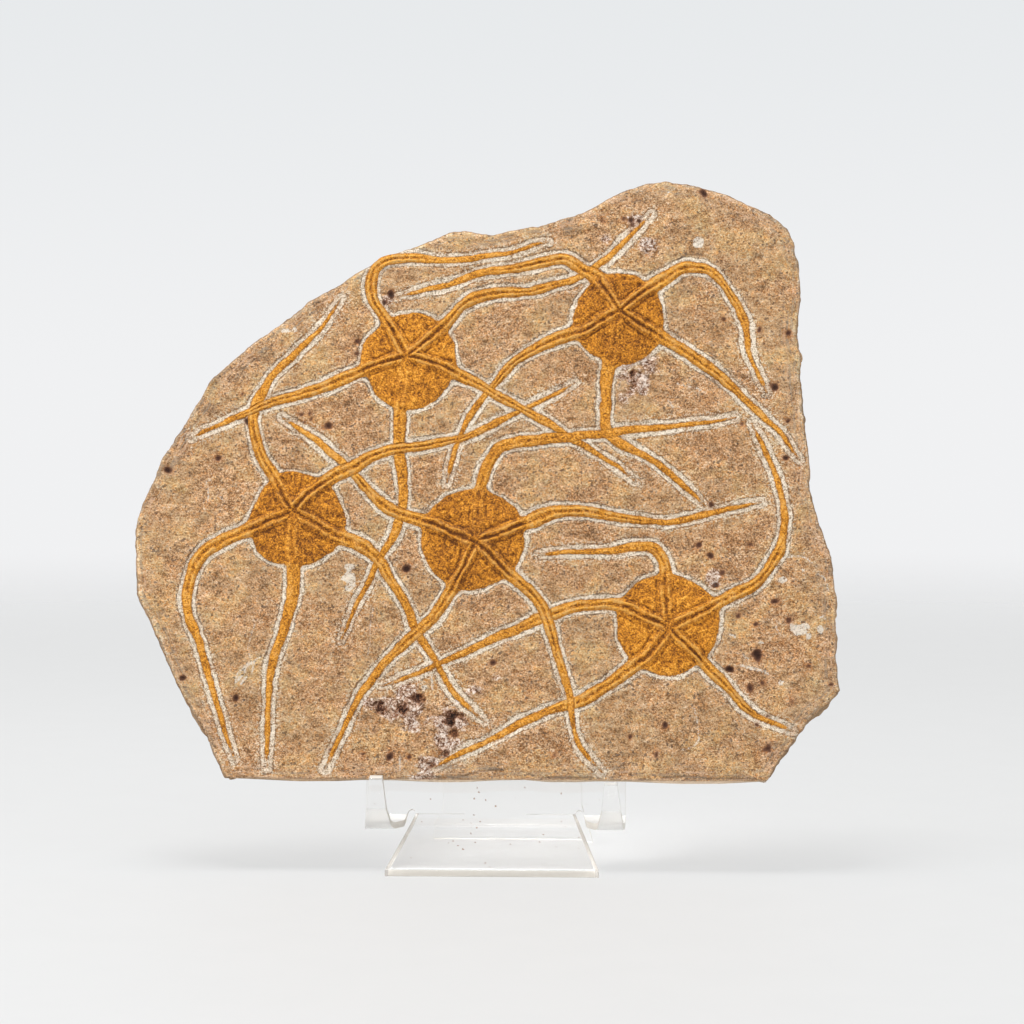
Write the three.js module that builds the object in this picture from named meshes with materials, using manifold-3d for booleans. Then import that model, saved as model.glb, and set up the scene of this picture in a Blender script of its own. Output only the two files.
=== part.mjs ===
// A slab of sandstone with five brittle stars fossilised on its face, standing on a bent acrylic
// easel.  Millimetres, +Z up, the fossil face looks toward -Y.  The origin is on the surface the
// easel stands on, under the middle of the whole.
//
// The slab and the stars are drawn in the plane of the slab's face: x runs across it, y runs up it
// from its sawn lower edge, z stands out of it.  x = 0 is above the middle of the easel's tongue.
import * as THREE from 'three';
import { mergeVertices } from 'three/addons/utils/BufferGeometryUtils.js';
import Module from 'manifold-3d';

const wasm = await Module();
wasm.setup();

// Driving dimensions.
const GAP = 0.3; // clearance between two pieces that touch
const THICKNESS = 13; // of the slab
const LEAN = 14.5; // degrees that the slab and the easel's panel lean back
const EDGE_HEIGHT = 26.8; // of the slab's front lower edge above the table
const LEDGE_DEPTH = 2.6; // how far the broken sides step in
const EDGE_WEAR = 0.8; // rounding of the slab's arrises

const GROOVE_DEPTH = 1.5; // the bed cut in the slab around each star
const GROOVE_SLOPE = 0.7; // how much a bed widens for each millimetre up
const STAR_BASE = -1.2; // underside of a star, below the slab's face
const DISC_RIM = 0.4; // height of a disc at its rim
const DISC_CROWN = 0.9; // and at its middle
const ARM_ROOT = { half: 2.2, crest: 1.3 }; // half width and height of an arm at the disc
const ARM_TIP = { half: 0.6, crest: 0.5 }; // and at its tip
const ARM_STRETCH = { run: 18, turn: 17 }; // an arm's straight stretches: most length, most degrees
const DISC_SIDES = 24;
const CROSSING_FLOOR = -0.2; // underside of an arm that lies over another
const CROSSING_ROOF = -0.5; // top of the arm below it
const ABOVE = 3; // height that clears everything on the face

const BEND_FACET = 16; // degrees
const SHEET = 2; // thickness of the easel's acrylic; its bend radii are to the middle of the sheet
const PANEL_HEADING = 90 - LEAN; // degrees from +Y toward +Z
const PANEL_HALF = 38.7; // half width of the panel
const PANEL_RUN = 66.9; // straight length of the panel above the tongue
const TONGUE = { half: 23.7, run: 20.57, slope: 27.84, bend: 6 }; // half: where it leaves the panel
const TONGUE_BEND = { height: 11, half: 25.4 }; // where the flat of the tongue ends and its bend starts
const FRONT_FOOT = { half: 31.1, flat: 1.6, edge: -12.1, bend: 3 }; // edge: in front of the slab's lower edge
const REAR_LEG = { half: 21.5, lean: 9.2, bend: 6, offset: 3.4 }; // offset: to the right of the tongue
const REAR_FOOT = { half: 25, flare: 12 }; // flare: length over which the leg widens
const HOOK = { bend: 3.2, floor: 3.5, lean: 20, drop: 1 }; // floor: flat length between its bends
const HOOK_ROOT = [26.2, 38.7]; // inner and outer edge of a hook at the panel
const HOOK_MIDDLE = [30.8, 38.3]; // at its bends
const HOOK_TIP = [32.4, 36.7];
const LIP_LENGTH = { left: 12.8, right: 11.6 };

// The slab's broken outline, clockwise from its left end, then its straight sawn lower edge.
const OUTLINE = [
  [-108.5, 61], [-108.5, 75], [-106, 83], [-102.5, 91], [-101, 96.5], [-95.5, 104], [-92, 110],
  [-89, 114.5], [-87, 120.5], [-81, 127.5], [-71.5, 134], [-62, 143], [-56.5, 146.5], [-48, 150.5],
  [-38, 158], [-33.5, 160.5], [-25.5, 162.5], [-18.5, 165], [-15.5, 167.5], [-8.5, 167.5],
  [-2, 166], [5, 167.5], [11.5, 168], [25.5, 173], [34.5, 178.5], [44.5, 182], [57, 182],
  [63, 180], [70.5, 178.5], [82.5, 172], [87.5, 168.5], [89, 163.5], [91, 147.5], [89.5, 135],
  [91, 128], [90.5, 120.5], [93, 97.5], [93, 89.5], [97, 76], [99.5, 66], [100, 48],
  [101, 30.5], [101.5, 27], [98.5, 22.5], [93, 18], [89.5, 13.5], [80.5, 0],
  [-79.5, 0], [-83.5, 7.5], [-84, 10.5], [-86.5, 15.5], [-93, 27.5], [-99.5, 41], [-107, 55],
];

// Each star: its disc, the hub where its five arms meet, and the route of each arm from the hub.
const STARS = {
  upper_left: {
    disc: { x: -27, y: 127, radius: 14 },
    hub: [-28, 128.5],
    arms: [
      [[-33.5, 138], [-39, 147], [-38, 155.5], [-31.5, 159], [-16, 158.5], [0, 160.5], [14.5, 164.5]],
      [[-17, 137.5], [-11, 144.5], [-2.5, 148], [11.5, 149.5], [23.5, 153], [29.5, 156.5], [35, 161.5],
        [46, 173]],
      [[-15.5, 124.5], [-3.5, 118], [6.5, 112.5], [20, 104.5], [33.5, 96], [41, 90]],
      [[-29.5, 113], [-30, 101], [-28.5, 85.5], [-30.5, 74.5], [-37, 61.5], [-46, 41.5]],
      [[-42.5, 123.5], [-57, 117.5], [-73.5, 112], [-93.5, 103]],
    ],
  },
  upper_right: {
    disc: { x: 36, y: 140.5, radius: 14 },
    hub: [36, 142.5],
    arms: [
      [[30.5, 152], [26, 155], [20, 159], [13.5, 158], [-5, 154], [-16, 150.5], [-30.5, 147]],
      [[49, 152], [55, 155.5], [59.5, 156], [64.5, 154.5], [69.5, 148.5], [74, 139.5], [76, 129],
        [81, 117]],
      [[49, 134.5], [58.5, 128.5], [67.5, 121.5], [75.5, 114], [83.5, 106], [90.5, 96]],
      [[34.5, 130.5], [33, 122], [32, 114], [32.5, 106.5], [36, 102.5], [49, 94.5], [62.5, 82]],
      [[27, 137.5], [17.5, 134], [9.5, 129.5], [3, 124.5], [-6, 113.5], [-11.5, 103], [-15, 89]],
    ],
  },
  left: {
    disc: { x: -60, y: 77.5, radius: 14.5 },
    hub: [-61.5, 80.5],
    arms: [
      [[-66.5, 89.5], [-71, 97], [-73.5, 104.5], [-73.5, 112], [-68, 123], [-56, 135.5], [-48, 146.5]],
      [[-53, 88.5], [-44, 93.5], [-36.5, 97.5], [-29, 100], [-12.5, 102.5], [3.5, 109.5], [23, 120.5]],
      [[-51.5, 74.5], [-37, 67.5], [-30, 57], [-23, 44], [-13, 27], [-3.5, 17.5]],
      [[-61, 70.5], [-60.5, 61.5], [-61, 52], [-66, 35], [-67, 23], [-67, 3]],
      [[-71.5, 76], [-81, 72], [-88, 67.5], [-92, 59], [-92, 50], [-88, 39], [-82, 20], [-76.5, 5.5]],
    ],
  },
  centre: {
    disc: { x: -7, y: 72, radius: 15.5 },
    hub: [-6, 71.5],
    arms: [
      [[-5, 88], [-1, 98], [4, 101], [12, 102.5], [34, 105], [56.5, 107.5], [71, 109.5]],
      [[8.5, 76.5], [14.5, 79.5], [20, 80.5], [31, 80], [42, 78], [51.5, 77.5], [63.5, 80], [79, 83.5]],
      [[1, 64.5], [12, 54], [16.5, 44.5], [21, 28], [24.5, 12], [31.5, 2.5]],
      [[-11.5, 61], [-17.5, 49.5], [-30, 37.5], [-40.5, 24], [-50, 3]],
      [[-17.5, 76], [-31.5, 80.5], [-42, 90.5], [-52.5, 100.5], [-65, 109]],
    ],
  },
  lower_right: {
    disc: { x: 51, y: 46.5, radius: 15 },
    hub: [51.5, 45.5],
    arms: [
      [[50, 55.5], [50.5, 63.5], [47.5, 69], [43, 70], [30.5, 68.5], [12.5, 67.5]],
      [[59.5, 49.5], [66.5, 53.5], [72.5, 56.5], [78.5, 61], [84.5, 71], [85.5, 83], [80, 98.5],
        [76, 107.5]],
      [[62, 34.5], [73, 23], [80, 18], [88, 15]],
      [[44, 36.5], [29.5, 25.5], [12.5, 19], [-2.5, 11.5], [-18, 3]],
      [[43, 49.5], [35.5, 52.5], [28, 52.5], [21, 51], [5.5, 44.5], [-9, 38], [-21.5, 32.5],
        [-33.5, 28]],
    ],
  },
};

// Where two arms cross: the arm on top, then the one under it.
const CROSSINGS = [
  [['upper_right', 0], ['upper_left', 1]],
  [['upper_left', 2], ['upper_right', 4]],
  [['upper_left', 2], ['left', 1]],
  [['upper_left', 4], ['left', 0]],
  [['left', 1], ['upper_left', 3]],
  [['left', 1], ['upper_right', 4]],
  [['left', 1], ['centre', 4]],
  [['left', 2], ['upper_left', 3]],
  [['left', 2], ['lower_right', 4]],
  [['centre', 0], ['upper_left', 2]],
  [['centre', 0], ['upper_right', 3]],
  [['centre', 2], ['lower_right', 3]],
  [['centre', 2], ['lower_right', 4]],
  [['centre', 3], ['left', 2]],
  [['centre', 4], ['upper_left', 3]],
];

// The larger pits in the slab's face: x, y and radius.
const PITS = [
  [-99.5, 93.5, 1.7], [-77, 109, 1.8], [-57.5, 109.5, 1.4], [-51.5, 106.5, 1.4], [-33, 148, 2.2],
  [41, 171.5, 1.8], [62, 179.5, 1.4], [41.5, 122, 3], [83, 118.5, 2.2], [86.5, 96.5, 1.4],
  [63.5, 67.5, 1.4], [77.5, 37, 2.2], [69, 33, 1.4], [80.5, 9.5, 2.3], [50, 16.5, 1.5],
  [-0.5, 35, 1.4], [-26.5, 63, 1.8], [-93, 29.5, 1.4], [-33, 21.5, 2.6], [-27.5, 19.5, 2.2],
  [-22.5, 24.5, 2.2], [-12.5, 18.5, 2.4], [-12, 11.5, 1.8],
];

// Chips broken from the slab's arrises: x, y, z and radius.
const CHIPS = [
  [-108, 89, -1, 6], [-67.5, 141.5, -2, 5], [-13, 171.5, -1, 5], [29, 179.5, -11, 7], [95, 165.5, -3, 8],
  [93.5, 140.5, -12, 7], [103, 62, -2, 5], [104, 19.5, -1, 7], [-91, 13.5, -2, 7], [-112.5, 51, -10, 9],
];

const COLOURS = {
  sandstone: 0xb08c66,
  fossil: 0xc07f2a,
  acrylic: 0xe6ecec,
};

// ---- Solids -----------------------------------------------------------------------------------

// The solid that a closed three.js geometry encloses.
function solid(geometry) {
  const bare = new THREE.BufferGeometry();
  bare.setAttribute('position', geometry.getAttribute('position').clone());
  if (geometry.index) bare.setIndex(geometry.index.clone());
  const merged = mergeVertices(bare, 1e-4);
  return new wasm.Manifold(new wasm.Mesh({
    numProp: 3,
    vertProperties: new Float32Array(merged.getAttribute('position').array),
    triVerts: new Uint32Array(merged.getIndex().array),
  }));
}

// A named mesh made from a solid.
function mesh(name, body, material) {
  const { vertProperties, triVerts } = body.getMesh();
  const geometry = new THREE.BufferGeometry();
  geometry.setAttribute('position', new THREE.BufferAttribute(vertProperties, 3));
  geometry.setIndex(new THREE.BufferAttribute(triVerts, 1));
  const result = new THREE.Mesh(geometry, material);
  result.name = name;
  return result;
}

function shapeOf(points) {
  return new THREE.Shape(points.map(([x, y]) => new THREE.Vector2(x, y)));
}

// A bar of one section carried through a list of stations.  place gives the point that a corner of
// the section takes at a station.
function loft(section, stations, place) {
  const last = stations.length - 1;
  const bar = new THREE.ExtrudeGeometry(shapeOf(section), { depth: 1, steps: last, bevelEnabled: false });
  const position = bar.getAttribute('position');
  for (let i = 0; i < position.count; i += 1) {
    const station = stations[Math.round(position.getZ(i) * last)];
    const point = place(position.getX(i), position.getY(i), station);
    position.setXYZ(i, point.x, point.y, point.z);
  }
  return solid(bar);
}

function join(bodies) {
  return bodies.reduce((whole, body) => whole.add(body));
}

// ---- Brittle stars ----------------------------------------------------------------------------

// Stations along an arm, from the hub to the tip.
function armStations(hub, route) {
  const curve = new THREE.SplineCurve([hub, ...route].map(([x, y]) => new THREE.Vector2(x, y)));
  const length = curve.getLength();
  const samples = Math.ceil(length);
  const marks = [0];
  let turn = 0;
  for (let i = 1; i < samples; i += 1) {
    const [before, here] = [i - 1, i].map((n) => curve.getTangentAt(n / samples));
    turn += Math.abs(THREE.MathUtils.radToDeg(Math.asin(before.cross(here))));
    const run = (i / samples - marks.at(-1)) * length;
    if (turn > ARM_STRETCH.turn || run > ARM_STRETCH.run) {
      marks.push(i / samples);
      turn = 0;
    }
  }
  marks.push(1);
  return marks.map((t) => ({
    at: curve.getPointAt(t),
    along: curve.getTangentAt(t),
    half: THREE.MathUtils.lerp(ARM_ROOT.half, ARM_TIP.half, t),
    crest: THREE.MathUtils.lerp(ARM_ROOT.crest, ARM_TIP.crest, t),
    reach: t === 1 ? 1 : 0,
  }));
}

// A point beside a station: offset to its left, height above the face, and reach past the tip.
function beside({ at, along, reach }, offset, height, past) {
  return new THREE.Vector3(
    at.x - along.y * offset + along.x * reach * past,
    at.y + along.x * offset + along.y * reach * past,
    height,
  );
}

// An arm: flat underneath, with shoulders and a crest.
function armSolid(stations) {
  const section = [[-1, -1], [1, -1], [0.85, 0.45], [0, 1], [-0.85, 0.45]];
  return loft(section, stations, (x, y, station) => {
    const height = y < 0 ? STAR_BASE : y * station.crest;
    return beside(station, x * station.half, height, 0);
  });
}

// The space that an arm takes, with clearance, between two heights.  spread widens it upward.
function armSpace(stations, low, high, spread) {
  const section = [[-1, 0], [1, 0], [1, 1], [-1, 1]];
  return loft(section, stations, (x, y, station) => {
    const margin = GAP + y * spread;
    return beside(station, x * (station.half + margin), low + y * (high - low), margin);
  });
}

function turned(profile, { x, y }) {
  const lathe = new THREE.LatheGeometry(profile.map(([r, z]) => new THREE.Vector2(r, z)), DISC_SIDES);
  lathe.rotateX(Math.PI / 2);
  lathe.translate(x, y, 0);
  return solid(lathe);
}

function discSolid(disc) {
  const { radius } = disc;
  return turned([[0, STAR_BASE], [radius, STAR_BASE], [radius, DISC_RIM], [0, DISC_CROWN]], disc);
}

function discSpace(disc, low, high, spread) {
  const foot = disc.radius + GAP;
  return turned([[0, low], [foot, low], [foot + spread, high], [0, high]], disc);
}

const starArms = Object.fromEntries(Object.entries(STARS).map(([key, star]) => [
  key,
  star.arms.map((route) => {
    const stations = armStations(star.hub, route);
    return { stations, body: armSolid(stations) };
  }),
]));

for (const [[overKey, overArm], [underKey, underArm]] of CROSSINGS) {
  const over = starArms[overKey][overArm];
  const under = starArms[underKey][underArm];
  under.body = under.body.subtract(armSpace(over.stations, CROSSING_ROOF, ABOVE, 0));
  over.body = over.body.subtract(armSpace(under.stations, -ABOVE, CROSSING_FLOOR, 0));
}

// The bed of a star: its own outline with clearance, widening to the face of the slab.
function starBed(key) {
  const spread = GROOVE_SLOPE * (ABOVE + GROOVE_DEPTH);
  const arms = starArms[key].map(({ stations }) => armSpace(stations, -GROOVE_DEPTH, ABOVE, spread));
  return join([discSpace(STARS[key].disc, -GROOVE_DEPTH, ABOVE, spread), ...arms]);
}

function starSolid(key) {
  return join([discSolid(STARS[key].disc), ...starArms[key].map(({ body }) => body)]);
}

// ---- Slab -------------------------------------------------------------------------------------

// The slab before the stars are bedded in it: the outline, with sides that step in and out in
// uneven courses everywhere but on the sawn lower edge.
function slabBlank() {
  const blank = new THREE.ExtrudeGeometry(shapeOf(OUTLINE), {
    depth: THICKNESS - 2 * EDGE_WEAR,
    steps: 2,
    bevelThickness: EDGE_WEAR,
    bevelSize: EDGE_WEAR,
    bevelOffset: -EDGE_WEAR,
    bevelSegments: 1,
  });
  blank.translate(0, 0, EDGE_WEAR - THICKNESS);
  const position = blank.getAttribute('position');
  const middle = new THREE.Vector2(-3, 88);
  for (let i = 0; i < position.count; i += 1) {
    const point = new THREE.Vector2(position.getX(i), position.getY(i));
    const z = position.getZ(i);
    const inward = middle.clone().sub(point).normalize();
    const turn = inward.angle();
    const course = 0.5 + 0.3 * Math.sin(turn * 9 + z * 1.7) + 0.2 * Math.sin(turn * 23 - z * 0.9);
    const depth = LEDGE_DEPTH * course * Math.min(1, -z / THICKNESS * 2);
    const sawn = point.y < EDGE_WEAR + 0.1;
    if (!sawn) point.addScaledVector(inward, depth);
    position.setXYZ(i, point.x, point.y, z);
  }
  return solid(blank);
}

function nugget(x, y, z, radius) {
  const stone = new THREE.IcosahedronGeometry(radius);
  stone.rotateZ(x + y);
  stone.rotateX(x - y);
  stone.translate(x, y, z);
  return solid(stone);
}

function slabSolid() {
  const pits = PITS.map(([x, y, radius]) => nugget(x, y, radius * 0.2, radius));
  const chips = CHIPS.map((chip) => nugget(...chip));
  const cuts = [...Object.keys(STARS).map(starBed), ...pits, ...chips];
  return cuts.reduce((slab, cut) => slab.subtract(cut), slabBlank());
}

// ---- Easel ------------------------------------------------------------------------------------

// Stations along the middle of a bent strip, in the y-z plane.  heading is in degrees from +Y
// toward +Z.  A move is [length] for a straight run, or [radius, turn] for a bend.
function bentStations(start, heading, moves) {
  const stations = [{ y: start.y, z: start.z, heading, run: 0 }];
  const walk = (length, turn) => {
    const { y, z, heading: before, run } = stations.at(-1);
    const mean = THREE.MathUtils.degToRad(before + turn / 2);
    stations.push({
      y: y + length * Math.cos(mean),
      z: z + length * Math.sin(mean),
      heading: before + turn,
      run: run + length,
    });
  };
  for (const [size, turn] of moves) {
    if (turn === undefined) {
      walk(size, 0);
    } else {
      const steps = Math.ceil(Math.abs(turn) / BEND_FACET);
      const step = turn / steps;
      const chord = 2 * size * Math.sin(Math.abs(THREE.MathUtils.degToRad(step)) / 2);
      for (let i = 0; i < steps; i += 1) walk(chord, step);
    }
  }
  return stations;
}

// A strip of the sheet: edges gives its two edges at each station, as distances across.
function strip(stations, edges) {
  const section = [[-1, -1], [1, -1], [1, 1], [-1, 1]];
  return loft(section, stations, (x, y, station) => {
    const normal = THREE.MathUtils.degToRad(station.heading + 90);
    const [near, far] = edges(station);
    return new THREE.Vector3(
      x < 0 ? far : near,
      station.y + y * SHEET / 2 * Math.cos(normal),
      station.z + y * SHEET / 2 * Math.sin(normal),
    );
  });
}

// Value at a place along a list of [place, value], with straight lines between them.
function between(keys, place) {
  const next = keys.findIndex(([at]) => at >= place);
  if (next < 1) return keys.at(next)[1];
  const [[before, from], [after, to]] = [keys[next - 1], keys[next]];
  return THREE.MathUtils.lerp(from, to, (place - before) / (after - before));
}

// The tongue, from the front edge of its foot up to the notches where it leaves the panel.
function tongueStations() {
  return bentStations({ y: FRONT_FOOT.edge, z: SHEET / 2 }, 0, [
    [FRONT_FOOT.flat], [FRONT_FOOT.bend, TONGUE.slope], [TONGUE.run],
    [TONGUE.bend, PANEL_HEADING - TONGUE.slope],
  ]);
}

function tongueSolid(stations) {
  const widths = [
    [stations[0].z, FRONT_FOOT.half], [TONGUE_BEND.height, TONGUE_BEND.half],
    [stations.at(-1).z, TONGUE.half],
  ];
  return strip(stations, ({ z }) => [-between(widths, z), between(widths, z)]);
}

function panelSolid(notch) {
  const panel = bentStations(notch, PANEL_HEADING, [[PANEL_RUN]]);
  return strip(panel, () => [-PANEL_HALF, PANEL_HALF]);
}

// The rear leg, bent back over the top of the panel, flared at its foot and cut level there.
function rearLegSolid(notch) {
  const path = bentStations(notch, PANEL_HEADING, [
    [PANEL_RUN], [REAR_LEG.bend, REAR_LEG.lean - 90 - PANEL_HEADING],
  ]).slice(1);
  const { run, z } = path.at(-1);
  const lean = THREE.MathUtils.degToRad(REAR_LEG.lean);
  const length = z / Math.cos(lean);
  const last = bentStations(path.at(-1), path.at(-1).heading, [
    [length - REAR_FOOT.flare], [REAR_FOOT.flare + SHEET],
  ]).slice(1).map((station) => ({ ...station, run: station.run + run }));
  const widths = [
    [0, REAR_LEG.half], [run + length - REAR_FOOT.flare, REAR_LEG.half],
    [run + length, REAR_FOOT.half], [run + length + 2 * SHEET, REAR_FOOT.half],
  ];
  const leg = strip([...path, ...last], (station) => {
    const half = between(widths, station.run);
    return [REAR_LEG.offset - half, REAR_LEG.offset + half];
  });
  const underTable = new THREE.BoxGeometry(100, 100, 40);
  underTable.translate(0, 60, -20);
  return leg.subtract(solid(underTable));
}

// A hook: a tab of the panel that runs down, forward under the slab and up in front of it.
function hookSolid(notch, side, lip) {
  const overlap = 8;
  const rise = THREE.MathUtils.degToRad(PANEL_HEADING);
  const top = { y: notch.y + overlap * Math.cos(rise), z: notch.z + overlap * Math.sin(rise) };
  const path = bentStations(top, PANEL_HEADING + 180, [
    [overlap - HOOK.drop], [HOOK.bend, -PANEL_HEADING], [HOOK.floor], [HOOK.bend, HOOK.lean - 90], [lip],
  ]);
  const end = path.at(-1).run;
  const places = [0, overlap - HOOK.drop, overlap + 3, end - lip, end];
  const edges = [HOOK_ROOT, HOOK_ROOT, HOOK_MIDDLE, HOOK_MIDDLE, HOOK_TIP];
  return strip(path, ({ run }) => {
    const [inner, outer] = [0, 1].map((i) => between(places.map((at, n) => [at, edges[n][i]]), run));
    return side === 'left' ? [-outer, -inner] : [inner, outer];
  });
}

function easelSolid() {
  const tongue = tongueStations();
  const notch = tongue.at(-1);
  const hooks = Object.entries(LIP_LENGTH).map(([side, lip]) => hookSolid(notch, side, lip));
  return join([tongueSolid(tongue), panelSolid(notch), rearLegSolid(notch), ...hooks]);
}

// ---- The whole --------------------------------------------------------------------------------

const sandstone = new THREE.MeshStandardMaterial({ color: COLOURS.sandstone, roughness: 0.85, metalness: 0 });
const fossil = new THREE.MeshStandardMaterial({ color: COLOURS.fossil, roughness: 0.7, metalness: 0 });
const acrylic = new THREE.MeshStandardMaterial({
  color: COLOURS.acrylic, roughness: 0.05, metalness: 0, transparent: true, opacity: 0.3,
});

const face = new THREE.Group();
face.rotation.x = THREE.MathUtils.degToRad(90 - LEAN);
face.add(mesh('sandstone_slab', slabSolid(), sandstone));
for (const key of Object.keys(STARS)) face.add(mesh(`brittle_star_${key}`, starSolid(key), fossil));

const specimen = new THREE.Group();
specimen.position.z = EDGE_HEIGHT;
specimen.add(face);

const whole = new THREE.Group();
whole.add(specimen, mesh('acrylic_easel', easelSolid(), acrylic));

const box = new THREE.Box3().setFromObject(whole, true);
const centre = box.getCenter(new THREE.Vector3());
whole.position.set(-centre.x, -centre.y, -box.min.z);

export default whole;
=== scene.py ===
from math import atan2, cos, hypot, pi, radians, sin, sqrt

import bmesh
import bpy
import numpy as np
from mathutils import Matrix, Vector


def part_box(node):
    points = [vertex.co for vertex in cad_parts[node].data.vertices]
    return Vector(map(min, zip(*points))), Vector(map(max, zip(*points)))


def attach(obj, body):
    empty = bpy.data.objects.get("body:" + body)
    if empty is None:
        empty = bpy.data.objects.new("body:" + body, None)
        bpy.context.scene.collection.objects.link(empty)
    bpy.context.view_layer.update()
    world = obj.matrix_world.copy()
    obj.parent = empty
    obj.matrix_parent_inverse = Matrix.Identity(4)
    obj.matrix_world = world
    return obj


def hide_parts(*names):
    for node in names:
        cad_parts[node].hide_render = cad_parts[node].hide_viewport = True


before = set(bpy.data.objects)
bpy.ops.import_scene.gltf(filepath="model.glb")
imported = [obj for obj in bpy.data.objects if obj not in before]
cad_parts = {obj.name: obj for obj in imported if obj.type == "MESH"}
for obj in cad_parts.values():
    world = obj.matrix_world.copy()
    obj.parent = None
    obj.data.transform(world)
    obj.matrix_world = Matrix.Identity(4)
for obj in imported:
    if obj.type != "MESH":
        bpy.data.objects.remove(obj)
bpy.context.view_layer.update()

# ---- Camera -----------------------------------------------------------------------------------
# A long lens a little above the middle of the slab, turned a few degrees to the right of the
# front.  Its place is taken from the easel: the middle of its hooks, and the slab's lower edge.

LENS = 108.35  # focal length in millimetres
SENSOR_WIDTH = 36
VIEW_DEPTH = 20
CAMERA_TURN = radians(2.5)
CAMERA_TILT = radians(2.8)
CAMERA_AWAY = 0.9
CAMERA_HEIGHT = 0.1495
CAMERA_ASIDE = 0.0054
FOOT_BEFORE_EDGE = 0.0121  # from the front of the easel's foot to the slab's lower edge

easel_low, easel_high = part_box("acrylic_easel")
easel_middle = (easel_low.x + easel_high.x) / 2
slab_edge = easel_low.y + FOOT_BEFORE_EDGE

camera_lens = bpy.data.cameras.new("camera")
camera_lens.lens = LENS
camera_lens.sensor_width = SENSOR_WIDTH
camera_lens.clip_end = VIEW_DEPTH
camera = bpy.data.objects.new("camera", camera_lens)
camera.location = (
    easel_middle + CAMERA_ASIDE + CAMERA_AWAY * sin(CAMERA_TURN),
    slab_edge - CAMERA_AWAY * cos(CAMERA_TURN),
    CAMERA_HEIGHT,
)
camera.rotation_euler = (pi / 2 - CAMERA_TILT, 0, CAMERA_TURN)
bpy.context.scene.collection.objects.link(camera)
bpy.context.scene.camera = camera
bpy.context.scene.view_settings.view_transform = "Standard"

# ---- Studio -----------------------------------------------------------------------------------
# A white table that fades into a pale backdrop, a soft lamp above the slab and one in front of it
# on the left.  The table is a round sheet of matt white card, part of the stage, with a faint
# painted glow that softens its shadows and lights the slab from below.

BACKDROP_LOW = (0.875, 0.88, 0.89)
BACKDROP_HIGH = (0.80, 0.82, 0.835)
BACKDROP_FADE = (-0.02, 0.14)  # heights between which the backdrop's low colour turns into the high
TABLE_WHITE = (0.25, 0.25, 0.249)
TABLE_SHADE = (0.235, 0.235, 0.234)
TABLE_GRAIN = 0.02
TABLE_PAINTED_GLOW = 0.395  # painted glow that stands in for light coming up through the table
TABLE_RADIUS = 3.0
TABLE_FADE = (0.45, 1.6)  # where the table starts to fade, and where it is gone
LAMP_AIM = (0, 0, 0.1)


class Wire:
    """A value in a material, with arithmetic that adds Math nodes."""

    def __init__(self, finish, socket):
        self.finish = finish
        self.socket = socket

    def maths(self, operation, *others):
        """The result of a Math node on this value and others."""
        node = self.finish.node("Math", {"operation": operation}, dict(enumerate((self, *others))))
        return self.finish.wire(node, 0)

    def __add__(self, other):
        return self.maths("ADD", other)

    def __sub__(self, other):
        return self.maths("SUBTRACT", other)

    def __rsub__(self, other):
        return (self * -1) + other

    def __mul__(self, other):
        return self.maths("MULTIPLY", other)

    def size(self):
        """The value without its sign."""
        return self.maths("ABSOLUTE")

    def rise(self, start, end):
        """0 up to start and 1 from end, smooth between them; it falls if end < start."""
        settings = {"interpolation_type": "SMOOTHSTEP"}
        node = self.finish.node(
            "MapRange", settings, {"Value": self, "From Min": start, "From Max": end}
        )
        return self.finish.wire(node, "Result")


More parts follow.
